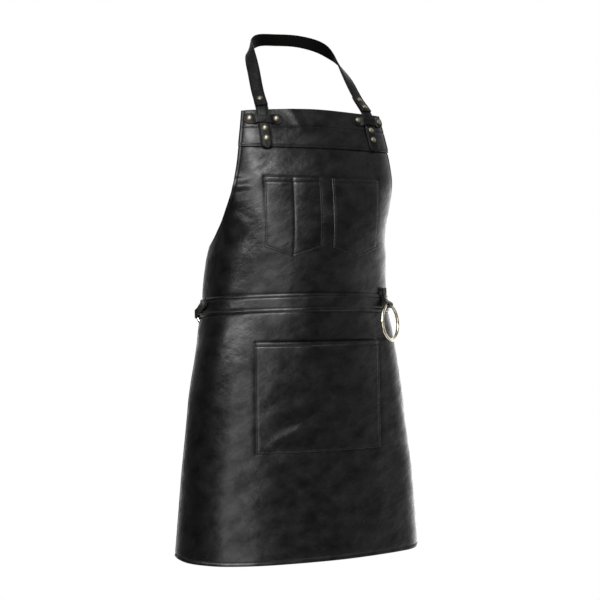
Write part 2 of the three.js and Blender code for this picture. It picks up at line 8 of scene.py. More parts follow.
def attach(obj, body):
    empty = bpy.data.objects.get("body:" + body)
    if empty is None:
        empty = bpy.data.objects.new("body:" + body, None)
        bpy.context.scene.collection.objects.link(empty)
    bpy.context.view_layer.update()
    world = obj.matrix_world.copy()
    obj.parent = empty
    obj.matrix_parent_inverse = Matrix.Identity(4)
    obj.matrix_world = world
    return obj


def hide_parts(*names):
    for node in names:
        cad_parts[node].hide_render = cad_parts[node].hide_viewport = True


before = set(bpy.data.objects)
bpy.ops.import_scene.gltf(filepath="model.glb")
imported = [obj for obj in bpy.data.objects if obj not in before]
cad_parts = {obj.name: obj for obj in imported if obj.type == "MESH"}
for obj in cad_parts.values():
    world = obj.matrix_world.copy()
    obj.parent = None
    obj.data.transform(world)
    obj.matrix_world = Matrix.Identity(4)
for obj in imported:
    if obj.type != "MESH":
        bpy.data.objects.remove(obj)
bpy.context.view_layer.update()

# Bib panel: the upper front of the apron, one piece of semi-gloss black cowhide 2 mm thick. It is cut
# in at the armholes, its edges are turned and sewn down, and its foot lies under the waistband.
# All sizes here are millimetres, measured on the flat leather and wrapped to the worn shape.
MM = 0.001
PANEL = 2.0
BIB_TOP = -168.0
ARMHOLE_END = -421.0
WAIST_TOP = -510.0
WAIST_SEAM = -536.0
WAIST_DROP = 13.5
WAIST_HALF = 300.0
BAND_HEIGHT = 72.0
TOP_HALF = 147.0
TOP_CROWN = 3.5
TOP_CROWN_REACH = 75.0
TOP_CORNER_DROP = 4.0
EDGE_SEAM = 6.0
BIB_STRAIGHT = 122.5
EDGE_MARGIN = 20.0
SLOPE_REACH = 8.0
SIDE_HEADING = math.radians(84)
BACK_RADIUS = 230.0

# outlines of the pockets on the panels, and how far the leather is pressed in along their mouths
CHEST_WIDTH = 108.0
CHEST_INSET = 11.3
CHEST_MIDDLE = CHEST_INSET + CHEST_WIDTH / 2
CHEST_TOP = -297.0
CHEST_SIDE = 128.0
CHEST_POINT = 18.0
CHEST_DIP = 1.3
CHEST_REACH = 3.2
WIDE_WIDTH = 260.0
WIDE_TOP = -601.0
WIDE_HEIGHT = 204.0
WIDE_DIP = 1.9
WIDE_REACH = 4.2
ABOVE_MOUTH = 5.0

# how edges and seams shape the leather: depths, and how far each reaches
EDGE_ROUND = 0.6
EDGE_ROUND_REACH = 0.4
EDGE_PUFF = 0.5
PUFF_PLACE = 0.45
PUFF_REACH = 0.4
ROLL_DEPTH = 1.6
ROLL_REACH = 4.0
PRESS_DEPTH = 1.1
PRESS_REACH = 2.6
THREAD_PULL = 0.9
THREAD_PULL_REACH = 1.5
POCKET_PRESS = 0.6
SEAM_PAST_MOUTH = 2.0
SEAM_FADE = 3.0
MOUTH_PAST_SIDE = 4.0
MOUTH_FADE = 6.0

# where a sheet's mesh is fine, from its edges and to both sides of a seam, and its steps elsewhere
EDGE_STEPS = [0.0, 0.3, 0.8, 1.7, 3.0]
SEAM_STEPS = [-3.2, -1.7, -0.8, 0.0, 0.8, 1.7, 3.2]
CLEAR_OF_FINE = 0.45
BIB_ROW_STEP = 4.0
BIB_COLUMN_STEP = 4.5

# height, depth of the front, radius and half angle of the front arc, radius of the side arc
WRAP = np.array([
    (-1008, -240, 635, 17, 81),
    (-870, -231, 625, 17, 69),
    (-727, -228, 513, 18.5, 76),
    (-610, -231, 368, 24, 77.5),
    (-550, -235, 284, 29.2, 91),
    (-492, -239, 259, 29.6, 101),
    (-450, -246, 263, 25.7, 108),
    (-397, -254, 280, 19.1, 113),
    (-340, -250, 358, 17.2, 102),
    (-287, -241, 445, 16.0, 88),
    (-137, -191, 554, 12.8, 62),
], dtype=float)

# height and flat half width of the bib down its armholes
ARMHOLE = np.array([
    (-421, 300),
    (-406, 272),
    (-391, 249.5),
    (-377, 229),
    (-349, 202),
    (-320, 185.5),
    (-298, 177),
    (-269, 168.3),
    (-232, 160),
    (-168, 147),
], dtype=float)

# slow waves of the hide: lift and sway, then run across, run down and start of two crossing rows
WAVES = [
    (0.32, 1.4, 43, math.inf, 0.0, math.inf, 49, 0.8),
    (0.2, 0.0, 21, -57, 0.5, 90, 33, 0.0),
    (0.09, 0.0, 11.3, 17.9, 0.0, -29, 13.1, 2.0),
]
SWAY_RUN = 71.0

# creases that wearing has left: both ends as across and height, half width and height of the ridge
CREASES = [
    (-186, -306, -136, -299, 7, -1.7),
    (-184, -315, -138, -312, 7, 1.4),
    (-192, -327, -142, -320, 7, -1.8),
    (-196, -342, -150, -340, 9, 1.1),
    (-202, -354, -150, -388, 10, 1.8),
    (-216, -374, -160, -408, 11, -1.8),
    (-240, -404, -190, -424, 11, -1.4),
    (-60, -156, -32, -206, 9, 3.2),
    (-44, -166, -6, -230, 10, -0.9),
    (4, -160, -4, -340, 7, -0.5),
    (-4, -330, -16, -520, 8, -0.5),
    (-112, -792, -34, -757, 8, 3.0),
    (-110, -770, -20, -738, 9, -2.7),
    (-112, -742, -30, -716, 9, 2.3),
    (-116, -716, -50, -694, 9, -1.8),
    (-114, -690, -60, -664, 10, 1.5),
    (-126, -840, -64, -816, 9, 1.5),
    (-112, -858, -50, -832, 10, -1.4),
    (-150, -880, -76, -860, 11, 1.2),
    (120, -560, 150, -640, 12, -0.8),
    (166, -700, 200, -752, 10, 1.0),
    (-16, -536, -10, -600, 9, -0.6),
]
CREASE_DEPTH = 0.7
CREASE_REACH = 0.46

# the soft fold down the right of the skirt: lift, place across and half width of its ridge and valley
FOLDS = [(2.6, -120, 50), (-6.0, -232, 46)]
FOLD_HEAD = -600.0
FOLD_FADE = 200.0


def through_rows(table, heights):
    at = table[:, 0]
    last = len(at) - 1
    low = np.clip(np.searchsorted(at, heights, side="right") - 1, 0, last - 1)
    high = low + 1
    before = np.where(low > 0, low - 1, high)
    after = np.where(high < last, high + 1, low)
    span = at[high] - at[low]
    weight_before = 0.5 * span / (at[low] - at[before])
    weight_after = 0.5 * span / (at[after] - at[high])
    p = (heights - at[low]) / span
    share_before = -weight_before * p**3 + 2 * weight_before * p**2 - weight_before * p
    share_low = (1 + weight_before) * p**3 - (1.5 + 2 * weight_before) * p**2
    share_low = share_low + (weight_before - 0.5) * p + 1
    share_high = -(1 + weight_after) * p**3 + (1.5 + weight_after) * p**2 + 0.5 * p
    share_after = weight_after * p**3 - weight_after * p**2
    shares = [(share_before, before), (share_low, low), (share_high, high), (share_after, after)]
    return [sum(share * table[row, k] for share, row in shares) for k in range(1, table.shape[1])]


def wrapped(across, height, out):
    depth, front, angle, side = through_rows(WRAP, height)
    turn = np.radians(angle)
    run = np.abs(across)
    front_run = front * turn
    side_run = side * (SIDE_HEADING - turn)
    on_front = np.minimum(run, front_run) / front
    on_side = turn + np.clip(run - front_run, 0, side_run) / side
    on_back = SIDE_HEADING + np.maximum(run - front_run - side_run, 0) / BACK_RADIUS
    x = front * np.sin(on_front) + side * (np.sin(on_side) - np.sin(turn))
    x = x + BACK_RADIUS * (np.sin(on_back) - math.sin(SIDE_HEADING))
    y = depth + front * (1 - np.cos(on_front)) + side * (np.cos(turn) - np.cos(on_side))
    y = y + BACK_RADIUS * (math.cos(SIDE_HEADING) - np.cos(on_back))
    past_front = np.where(run <= front_run + side_run, on_side, on_back)
    heading = np.where(run <= front_run, on_front, past_front)
    x = x + out * np.sin(heading)
    y = y - out * np.cos(heading)
    return np.stack([np.sign(across) * x, y, height + 0 * x], axis=-1)


def eased(share):
    return share**2 * (3 - 2 * share)


def skirt_fold(across, height):
    folds = sum(lift * np.exp(-(((across - middle) / width) ** 2)) for lift, middle, width in FOLDS)
    return eased(np.clip((FOLD_HEAD - height) / FOLD_FADE, 0, 1)) * folds


def relief(across, height):
    soft = skirt_fold(across, height)
    for lift, sway, across_1, down_1, start_1, across_2, down_2, start_2 in WAVES:
        first = across / across_1 + height / down_1 + start_1 + sway * np.sin(height / SWAY_RUN)
        second = across / across_2 + height / down_2 + start_2
        soft = soft + lift * np.sin(first) * np.sin(second)
    for a0, h0, a1, h1, width, ridge in CREASES:
        length = math.hypot(a1 - a0, h1 - h0)
        along = ((across - a0) * (a1 - a0) + (height - h0) * (h1 - h0)) / length**2
        aside = ((across - a0) * (h1 - h0) - (height - h0) * (a1 - a0)) / length
        fade = np.exp(-(((along - 0.5) / CREASE_REACH) ** 4))
        soft = soft + CREASE_DEPTH * ridge * fade * np.exp(-((aside / width) ** 2))
    return soft


def waist_drop(across):
    return WAIST_DROP * (across / WAIST_HALF) ** 2


def waist_sag(across, level):
    return eased(np.clip((ARMHOLE_END - level) / (ARMHOLE_END - WAIST_TOP), 0, 1)) * waist_drop(across)


def top_rise(across, level):
    crown = TOP_CROWN * np.exp(-((across / TOP_CROWN_REACH) ** 2))
    corner = TOP_CORNER_DROP * np.maximum(-across / TOP_HALF, 0) ** 3
    return (crown - corner) * eased(np.clip((level - BIB_TOP + BAND_HEIGHT) / BAND_HEIGHT, 0, 1))


def spread(length, step, seams=()):
    fine = EDGE_STEPS + [length - at for at in EDGE_STEPS]
    for seam in seams:
        fine += [seam + shift for shift in SEAM_STEPS]
    fine = np.unique(np.clip(fine, 0, length))
    even = np.linspace(0, length, int(length / step) + 1)
    clear = [at for at in even if np.min(np.abs(fine - at)) > CLEAR_OF_FINE * step]
    return np.unique(np.concatenate([fine, clear]))


def groove(distance, depth, reach):
    return -depth * np.exp(-((distance / reach) ** 2))


def pressed_line(distance):
    return groove(distance, PRESS_DEPTH, PRESS_REACH)


def drawn_line(distance):
    return groove(distance, THREAD_PULL, THREAD_PULL_REACH)


def rounded(distance, depth=EDGE_ROUND):
    return depth * np.exp(-distance / EDGE_ROUND_REACH)


def rolled_edge(distance):
    return -ROLL_DEPTH * np.exp(-distance / ROLL_REACH)


def sewn_edge(distance, seam, pull=1.0):
    puffed = -groove(distance - PUFF_PLACE * seam, EDGE_PUFF, PUFF_REACH * seam)
    return puffed - rounded(distance) + pull * drawn_line(distance - seam)


def pocket_seat(across, height, middle, width, top, side, point, dip, reach):
    aside = np.abs(across - middle) - width / 2
    foot = top - side - point * np.clip(1 - 2 * np.abs(across - middle) / width, 0, 1)
    seam = POCKET_PRESS * pressed_line(np.maximum(aside, foot - height))
    seam = seam * np.clip((top + SEAM_PAST_MOUTH - height) / SEAM_FADE, 0, 1)
    mouth = groove(height - top, dip, reach) * np.clip((MOUTH_PAST_SIDE - aside) / MOUTH_FADE, 0, 1)
    return np.minimum(seam, mouth)


def leather_mesh(name, points, faces, flat, finishes, finish_of_face):
    mesh = bpy.data.meshes.new(name)
    mesh.from_pydata(points.tolist(), [], faces)
    for finish in finishes:
        mesh.materials.append(finish)
    corners = np.zeros(len(mesh.loops), dtype=np.int32)
    mesh.loops.foreach_get("vertex_index", corners)
    flat_map = mesh.uv_layers.new(name="flat_leather")
    flat_map.data.foreach_set("uv", flat[corners].astype(np.float32).ravel())
    mesh.polygons.foreach_set("material_index", finish_of_face.astype(np.int32))
    mesh.polygons.foreach_set("use_smooth", np.ones(len(mesh.polygons), dtype=bool))
    mesh.validate()
    piece = bpy.data.objects.new(name, mesh)
    bpy.context.scene.collection.objects.link(piece)
    return piece


def leather_wall(name, across, height, face, base, finishes):
    lift = relief(across, height)
    outer = wrapped(across, height, face + lift)
    inner = wrapped(across, height, base + lift)
    rows, columns = across.shape
    points = np.concatenate([outer.reshape(-1, 3), inner.reshape(-1, 3)]) * MM
    flat = np.stack([across, height + 0 * across], axis=-1).reshape(-1, 2) * MM
    at = np.arange(rows * columns).reshape(rows, columns)
    under = at + rows * columns
    outer_faces = np.stack([at[:-1, :-1], at[:-1, 1:], at[1:, 1:], at[1:, :-1]], axis=-1).reshape(-1, 4)
    inner_faces = np.stack([under[:-1, :-1], under[1:, :-1], under[1:, 1:], under[:-1, 1:]], axis=-1)
    foot = np.stack([under[0, :-1], under[0, 1:], at[0, 1:], at[0, :-1]], axis=-1)
    head = np.stack([at[-1, :-1], at[-1, 1:], under[-1, 1:], under[-1, :-1]], axis=-1)
    near = np.stack([under[:-1, 0], at[:-1, 0], at[1:, 0], under[1:, 0]], axis=-1)
    far = np.stack([at[:-1, -1], under[:-1, -1], under[1:, -1], at[1:, -1]], axis=-1)
    faces = np.concatenate([outer_faces, foot, head, near, far, inner_faces.reshape(-1, 4)])
    lining = np.arange(len(faces)) >= len(faces) - len(outer_faces)
    flat = np.concatenate([flat, flat])
    return leather_mesh(name, points, faces.tolist(), flat, finishes, lining * (len(finishes) - 1))


def fit(piece, body, node):
    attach(piece, body)
    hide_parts(node)


def new_finish(name, **values):
    finish = bpy.data.materials.new(name)
    finish.use_nodes = True
    shader = finish.node_tree.nodes["Principled BSDF"]
    for socket, value in values.items():
        shader.inputs[socket.replace("_", " ")].default_value = value
    return finish, shader


def add_node(owner, kind, **values):
    node = owner.node_tree.nodes.new(kind)
    for socket, value in values.items():
        node.inputs[socket.replace("_", " ")].default_value = value
    return node


def ramp(owner, source, stops):
    node = add_node(owner, "ShaderNodeValToRGB")
    node.color_ramp.elements[0].position = stops[0][0]
    node.color_ramp.elements[0].color = stops[0][1]
    node.color_ramp.elements[1].position = stops[-1][0]
    node.color_ramp.elements[1].color = stops[-1][1]
    for position, colour in stops[1:-1]:
        node.color_ramp.elements.new(position).color = colour
    owner.node_tree.links.new(source, node.inputs["Fac"])
    return node.outputs["Color"]


def grey(level):
    return (level, level, level, 1)


# how far patches of wear and of wax change the gloss of a hide
WORN_GLOSS = 0.5
WAXED_GLOSS = 1.15


def black_hide(name, dark, light, rough, pebble, cloud, gloss):
    finish, shader = new_finish(name, Metallic=0.0, Specular_IOR_Level=gloss)
    links = finish.node_tree.links
    flat = add_node(finish, "ShaderNodeTexCoord").outputs["UV"]
    stretched = add_node(finish, "ShaderNodeMapping", Scale=(0.9, 1.1, 1.0))
    drawn = add_node(finish, "ShaderNodeMapping", Rotation=(0.0, 0.0, 0.45), Scale=(1.5, 0.85, 1.0))
    drawn.vector_type = "TEXTURE"
    clouds = add_node(finish, "ShaderNodeTexNoise", Scale=cloud, Detail=3.0, Roughness=0.55)
    dents = add_node(finish, "ShaderNodeTexNoise", Scale=1.6 * cloud, Detail=2.0, Roughness=0.5)
    wear = add_node(finish, "ShaderNodeTexNoise", Scale=0.8 * cloud, Detail=4.0, Roughness=0.62)
    pores = add_node(finish, "ShaderNodeTexVoronoi", Scale=pebble, Randomness=0.9)
    fibres = add_node(finish, "ShaderNodeTexNoise", Scale=0.23 * pebble, Detail=4.0, Roughness=0.6)
    for node in (stretched, drawn, pores, fibres):
        links.new(flat, node.inputs["Vector"])
    links.new(stretched.outputs["Vector"], clouds.inputs["Vector"])
    for texture in (dents, wear):
        links.new(drawn.outputs["Vector"], texture.inputs["Vector"])
    tone = ramp(finish, clouds.outputs["Fac"], [(0.3, dark), (0.72, light)])
    links.new(tone, shader.inputs["Base Color"])
    dullness = ramp(finish, clouds.outputs["Fac"], [(0.3, grey(rough[0])), (0.7, grey(rough[1]))])
    links.new(dullness, shader.inputs["Roughness"])
    patches = [(0.34, grey(WORN_GLOSS * gloss)), (0.66, grey(WAXED_GLOSS * gloss))]
    links.new(ramp(finish, wear.outputs["Fac"], patches), shader.inputs["Specular IOR Level"])
    below = None
    for texture, strength, distance in (
        (clouds.outputs["Fac"], 0.19, 0.006),
        (dents.outputs["Fac"], 0.26, 0.003),
        (fibres.outputs["Fac"], 0.17, 0.0006),
        (pores.outputs["Distance"], 0.2, 0.0003),
    ):
        bump = add_node(finish, "ShaderNodeBump", Strength=strength, Distance=distance)
        links.new(texture, bump.inputs["Height"])
        if below:
            links.new(below, bump.inputs["Normal"])
        below = bump.outputs["Normal"]
    links.new(below, shader.inputs["Normal"])
    return finish


def suede_back(name):
    finish, shader = new_finish(name, Metallic=0.0, Specular_IOR_Level=0.2, Sheen_Weight=0.25)
    links = finish.node_tree.links
    flat = add_node(finish, "ShaderNodeTexCoord").outputs["UV"]
    nap = add_node(finish, "ShaderNodeTexNoise", Scale=420.0, Detail=6.0, Roughness=0.7)
    patches = add_node(finish, "ShaderNodeTexNoise", Scale=24.0, Detail=4.0, Roughness=0.6)
    for texture in (nap, patches):
        links.new(flat, texture.inputs["Vector"])
    tone = [(0.3, (0.011, 0.011, 0.0115, 1)), (0.7, (0.026, 0.0255, 0.025, 1))]
    links.new(ramp(finish, patches.outputs["Fac"], tone), shader.inputs["Base Color"])
    rough = [(0.3, grey(0.75)), (0.7, grey(0.95))]
    links.new(ramp(finish, nap.outputs["Fac"], rough), shader.inputs["Roughness"])
    raised = add_node(finish, "ShaderNodeBump", Strength=0.5, Distance=0.0006)
    links.new(nap.outputs["Fac"], raised.inputs["Height"])
    links.new(raised.outputs["Normal"], shader.inputs["Normal"])
    return finish


panel_hide = black_hide(
    "panel_hide",
    dark=(0.0025, 0.0025, 0.0026, 1),
    light=(0.006, 0.006, 0.0062, 1),
    rough=(0.27, 0.41),
    pebble=820.0,
    cloud=34.0,
    gloss=0.5,
)
hide_faces = (panel_hide, suede_back("panel_suede"))


def bib_half(height):
    (half,) = through_rows(ARMHOLE, np.clip(height, ARMHOLE_END, BIB_TOP))
    return np.where(height > ARMHOLE_END, half, WAIST_HALF)


def armhole_stretch(height):
    slope = (bib_half(height - SLOPE_REACH) - bib_half(height + SLOPE_REACH)) / (2 * SLOPE_REACH)
    return np.sqrt(1 + slope**2)


def from_edges(columns, reference, half, stretch, straight=0.0):
    run = np.abs(columns - reference / 2)
    from_edge = reference / 2 - run
    share = (run - straight) / (reference / 2 - EDGE_MARGIN - straight)
    between = straight + share * (half - EDGE_MARGIN * stretch - straight)
    outside = np.where(from_edge < EDGE_MARGIN, half - stretch * from_edge, between)
    return np.sign(columns - reference / 2) * np.where(run <= straight, run, outside)


bib_lines = np.array([WAIST_TOP, CHEST_TOP, CHEST_TOP + ABOVE_MOUTH, BIB_TOP - BAND_HEIGHT])
bib_rows = WAIST_SEAM + spread(BIB_TOP - WAIST_SEAM, BIB_ROW_STEP, bib_lines - WAIST_SEAM)
bib_uprights = [EDGE_SEAM, 2 * WAIST_HALF - EDGE_SEAM]
for edge in (CHEST_INSET, CHEST_INSET + CHEST_WIDTH):
    bib_uprights += [WAIST_HALF - edge, WAIST_HALF + edge]
bib_columns = spread(2 * WAIST_HALF, BIB_COLUMN_STEP, bib_uprights)[None, :]
bib_edge = np.minimum(bib_columns, 2 * WAIST_HALF - bib_columns)
bib_level = bib_rows[:, None]
bib_below_top = BIB_TOP - bib_level
bib_across = from_edges(
    bib_columns, 2 * WAIST_HALF, bib_half(bib_level), armhole_stretch(bib_level), BIB_STRAIGHT
)
bib_height = bib_level + top_rise(bib_across, bib_level) - waist_sag(bib_across, bib_level)
bib_seat = pressed_line(bib_level - WAIST_TOP) + pressed_line(bib_below_top - BAND_HEIGHT)
for side in (-1, 1):
    bib_seat = bib_seat + pocket_seat(
        bib_across, bib_height, side * CHEST_MIDDLE,
        CHEST_WIDTH, CHEST_TOP, CHEST_SIDE, CHEST_POINT, CHEST_DIP, CHEST_REACH,
    )
bib_seat = bib_seat + rolled_edge(bib_edge) * (bib_level < BIB_TOP - BAND_HEIGHT)
bib_face = bib_seat + sewn_edge(bib_edge, EDGE_SEAM) - rounded(bib_below_top)
bib_back = bib_seat - PANEL + rounded(np.minimum(bib_edge, bib_below_top))
bib_leather = leather_wall("bib_leather", bib_across, bib_height, bib_face, bib_back, hide_faces)
fit(bib_leather, "apron", "bib_panel")


# Stitching: waxed black thread in lock stitches about 3.4 mm long, sunk a little into the leather. Each
# stitch is one small spindle, set end to end along the seam on the grain side and on the flesh side.
STITCH_PITCH = 3.4
STITCH_HALVES = (0.42, 0.34, 1.5)
THREAD_SUNK = 0.55
THREAD_PROUD = 0.05
SEAM_STEP = 2.0
SEAM_CLEAR = 2.0

thread_finish, thread_shader = new_finish("waxed_thread", Metallic=0.0, Specular_IOR_Level=0.4)
thread_links = thread_finish.node_tree.links
thread_place = add_node(thread_finish, "ShaderNodeTexCoord").outputs["Object"]
thread_twist = add_node(thread_finish, "ShaderNodeTexNoise", Scale=1800.0, Detail=3.0, Roughness=0.6)
thread_links.new(thread_place, thread_twist.inputs["Vector"])
thread_tone = ramp(thread_finish, thread_twist.outputs["Fac"], [(0.35, grey(0.006)), (0.65, grey(0.016))])
thread_links.new(thread_tone, thread_shader.inputs["Base Color"])
thread_wax = ramp(thread_finish, thread_twist.outputs["Fac"], [(0.35, grey(0.5)), (0.65, grey(0.7))])
thread_links.new(thread_wax, thread_shader.inputs["Roughness"])

bpy.ops.object.select_all(action="DESELECT")
bpy.ops.mesh.primitive_uv_sphere_add(segments=6, ring_count=4, radius=1.0)
bpy.ops.object.mode_set(mode="EDIT")
bpy.ops.mesh.select_all(action="SELECT")
bpy.ops.transform.resize(value=STITCH_HALVES)
bpy.ops.object.mode_set(mode="OBJECT")
spindle = bpy.context.object
spindle_points = np.array([corner.co[:] for corner in spindle.data.vertices])
spindle_faces = [list(face.vertices) for face in spindle.data.polygons]
bpy.data.objects.remove(spindle, do_unlink=True)


def unit(vectors):
    return vectors / np.linalg.norm(vectors, axis=-1)[..., None]


def path_runs(path):
    return np.concatenate([[0], np.cumsum(np.linalg.norm(np.diff(path, axis=0), axis=1))])


def on_path(stops, runs, values):
    return np.stack([np.interp(stops, runs, values[:, k]) for k in range(3)], axis=-1)


def seam_run(start, end):
    return np.linspace(start, end, int(abs(end - start) / SEAM_STEP) + 2)


def both_faces(across, height, out):
    across = across + 0 * height
    height = height + 0 * across
    return [(across, height, out, 1), (across, height, -PANEL - THREAD_PROUD, -1)]


def sew(name, seams):
    points = []
    faces = []
    for across, height, out, side in seams:
        lift = relief(across, height)
        path = wrapped(across, height, out + lift)
        outward = (wrapped(across, height, out + lift + 1) - path) * side
        runs = path_runs(path)
        stops = np.arange(0.5 * STITCH_PITCH, runs[-1], STITCH_PITCH)
        middle = on_path(stops, runs, path)
        along = unit(on_path(stops + 1, runs, path) - on_path(stops - 1, runs, path))
        up = on_path(stops, runs, outward)
        up = unit(up - along * np.sum(up * along, axis=1)[:, None])
        aside = np.cross(up, along)
        for k in range(len(stops)):
            turn = np.stack([aside[k], up[k], along[k]])
            first = len(points) * len(spindle_points)
            points.append(middle[k] + spindle_points @ turn)
            faces += [[first + corner for corner in face] for face in spindle_faces]
    mesh = bpy.data.meshes.new(name)
    mesh.from_pydata((np.concatenate(points) * MM).tolist(), [], faces)
    mesh.materials.append(thread_finish)
    mesh.polygons.foreach_set("use_smooth", np.ones(len(mesh.polygons), dtype=bool))
    piece = bpy.data.objects.new(name, mesh)
    bpy.context.scene.collection.objects.link(piece)
    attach(piece, "apron")
    return piece


seam_level = seam_run(WAIST_TOP + SEAM_CLEAR, BIB_TOP - BAND_HEIGHT - SEAM_CLEAR)
seam_across = bib_half(seam_level) - EDGE_SEAM * armhole_stretch(seam_level)
seam_height = seam_level - waist_sag(seam_across, seam_level)
bib_seams = []
for side in (-1, 1):
    bib_seams += both_faces(side * seam_across, seam_height, -THREAD_SUNK)
bib_stitching = sew("bib_stitching", bib_seams)


# Skirt panel: the lower front, one piece of the same hide, wider at the hem than at the waist. Its
# sides and hem are turned and sewn, and its head is sewn to the bib under the waistband.
HEM = -1008.0
HEM_HALF = 345.0
HEM_SEAM = 6.5
SKIRT_GAP = 0.3
SKIRT_STRAIGHT = 135.0
SIDE_SEAM_SHARE = 0.97
SKIRT_ROW_STEP = 4.6
SKIRT_COLUMN_STEP = 5.5
WAISTBAND_HEIGHT = 34.0
WAISTBAND_FOOT = WAIST_TOP - WAISTBAND_HEIGHT

skirt_length = WAIST_SEAM - SKIRT_GAP - HEM
skirt_lines = [HEM + HEM_SEAM, WIDE_TOP, WIDE_TOP + ABOVE_MOUTH, WIDE_TOP - WIDE_HEIGHT, WAISTBAND_FOOT]
skirt_rows = spread(skirt_length, SKIRT_ROW_STEP, np.array(skirt_lines) - HEM)[:, None]
skirt_uprights = [EDGE_SEAM, 2 * HEM_HALF - EDGE_SEAM]
skirt_uprights += [HEM_HALF - WIDE_WIDTH / 2, HEM_HALF + WIDE_WIDTH / 2]
skirt_columns = spread(2 * HEM_HALF, SKIRT_COLUMN_STEP, skirt_uprights)[None, :]
skirt_edge = np.minimum(skirt_columns, 2 * HEM_HALF - skirt_columns)
skirt_rise = skirt_rows / skirt_length
skirt_half = HEM_HALF + (WAIST_HALF - HEM_HALF) * skirt_rise
skirt_across = from_edges(skirt_columns, 2 * HEM_HALF, skirt_half, 1.0, SKIRT_STRAIGHT)
skirt_height = HEM + skirt_rows - skirt_rise**3 * waist_drop(skirt_across)
skirt_seat = pressed_line(HEM + skirt_rows - WAISTBAND_FOOT) + rolled_edge(skirt_edge)
skirt_seat = skirt_seat + pocket_seat(
    skirt_across, skirt_height, 0.0, WIDE_WIDTH, WIDE_TOP, WIDE_HEIGHT, 0.0, WIDE_DIP, WIDE_REACH
)
skirt_face = skirt_seat + sewn_edge(skirt_edge, EDGE_SEAM) + sewn_edge(skirt_rows, HEM_SEAM)
skirt_back = skirt_seat - PANEL + rounded(np.minimum(skirt_edge, skirt_rows))
skirt_leather = leather_wall(
    "skirt_leather", skirt_across, skirt_height, skirt_face, skirt_back, hide_faces
)
fit(skirt_leather, "apron", "skirt_panel")

hem_across = seam_run(EDGE_SEAM - HEM_HALF, HEM_HALF - EDGE_SEAM)
skirt_seams = both_faces(hem_across, HEM + HEM_SEAM, -THREAD_SUNK)
side_rise = seam_run(HEM_SEAM, SIDE_SEAM_SHARE * skirt_length) / skirt_length
side_across = HEM_HALF + (WAIST_HALF - HEM_HALF) * side_rise - EDGE_SEAM
side_height = HEM + side_rise * skirt_length - side_rise**3 * waist_drop(side_across)
for side in (-1, 1):
    skirt_seams += both_faces(side * side_across, side_height, -THREAD_SUNK)
skirt_stitching = sew("skirt_stitching", skirt_seams)


# Top band: a second layer across the head of the bib, cut from the same hide. It is sewn down along
# its sides and foot, with one more row of stitching across its middle.
BAND_FACE = 2.4
BAND_BASE = 0.1
BAND_MIDDLE_SEAM = 38.0
BAND_FOOT_SEAM = 3.4
BAND_SIDE_SEAM_END = 3.0
BAND_REFERENCE = 300.0
BAND_ROW_STEP = 4.0
BAND_COLUMN_STEP = 5.0
BASE_ROUND = 0.4

band_rows = spread(BAND_HEIGHT, BAND_ROW_STEP, (BAND_FOOT_SEAM, BAND_MIDDLE_SEAM))[:, None]
band_below_top = BAND_HEIGHT - band_rows
band_level = BIB_TOP - band_below_top
band_columns = spread(BAND_REFERENCE, BAND_COLUMN_STEP, (EDGE_SEAM, BAND_REFERENCE - EDGE_SEAM))[None, :]
band_edge = np.minimum(band_columns, BAND_REFERENCE - band_columns)
band_across = from_edges(band_columns, BAND_REFERENCE, bib_half(band_level), 1.0)
band_height = band_level + top_rise(band_across, band_level)
band_seat = rolled_edge(band_edge) + pressed_line(band_rows)
band_face = BAND_FACE + band_seat + sewn_edge(band_edge, EDGE_SEAM) + sewn_edge(band_rows, BAND_FOOT_SEAM)
band_face = band_face + drawn_line(band_rows - BAND_MIDDLE_SEAM) - rounded(band_below_top)
band_rim = np.minimum(band_edge, np.minimum(band_rows, band_below_top))
band_back = BAND_BASE + band_seat + rounded(band_rim, BASE_ROUND)
band_leather = leather_wall(
    "top_band_leather", band_across, band_height, band_face, band_back, hide_faces
)
fit(band_leather, "apron", "top_band")

band_seams = []
for row in (BAND_FOOT_SEAM, BAND_MIDDLE_SEAM):
    level = BIB_TOP - BAND_HEIGHT + row
    reach = float(bib_half(np.array(level))) - EDGE_SEAM
    run = seam_run(-reach, reach)
    band_seams += both_faces(run, level + top_rise(run, level), BAND_FACE - THREAD_SUNK)
side_level = seam_run(BIB_TOP - BAND_HEIGHT + BAND_FOOT_SEAM, BIB_TOP - BAND_SIDE_SEAM_END)
for side in (-1, 1):
    side_across = side * (bib_half(side_level) - EDGE_SEAM)
    side_height = side_level + top_rise(side_across, side_level)
    band_seams += both_faces(side_across, side_height, BAND_FACE - THREAD_SUNK)
band_stitching = sew("top_band_stitching", band_seams)


# Waistband: a strip of the same hide over the seam of bib and skirt, dropping towards the back edges.
# It is sewn down by a row of stitching inside each long edge, and its ends are turned.
WAISTBAND_SEAM = 7.0
WAISTBAND_SEAMS = (WAISTBAND_SEAM, WAISTBAND_HEIGHT - WAISTBAND_SEAM)

waist_rows = spread(WAISTBAND_HEIGHT, BAND_ROW_STEP, WAISTBAND_SEAMS)[:, None]
waist_uprights = (EDGE_SEAM, 2 * WAIST_HALF - EDGE_SEAM)
waist_columns = spread(2 * WAIST_HALF, BAND_COLUMN_STEP, waist_uprights)[None, :]
waist_ends = np.minimum(waist_columns, 2 * WAIST_HALF - waist_columns)
waist_edge = np.minimum(waist_rows, WAISTBAND_HEIGHT - waist_rows)
waist_across = waist_columns - WAIST_HALF + 0 * waist_rows
waist_height = WAISTBAND_FOOT + waist_rows - waist_drop(waist_across)
waist_seat = pressed_line(waist_edge)
waist_face = BAND_FACE + waist_seat + sewn_edge(waist_edge, WAISTBAND_SEAM)
waist_face = waist_face + sewn_edge(waist_ends, EDGE_SEAM)
waist_back = BAND_BASE + waist_seat + rounded(np.minimum(waist_edge, waist_ends), BASE_ROUND)
waist_leather = leather_wall(
    "waistband_leather", waist_across, waist_height, waist_face, waist_back, hide_faces
)
fit(waist_leather, "apron", "waistband")

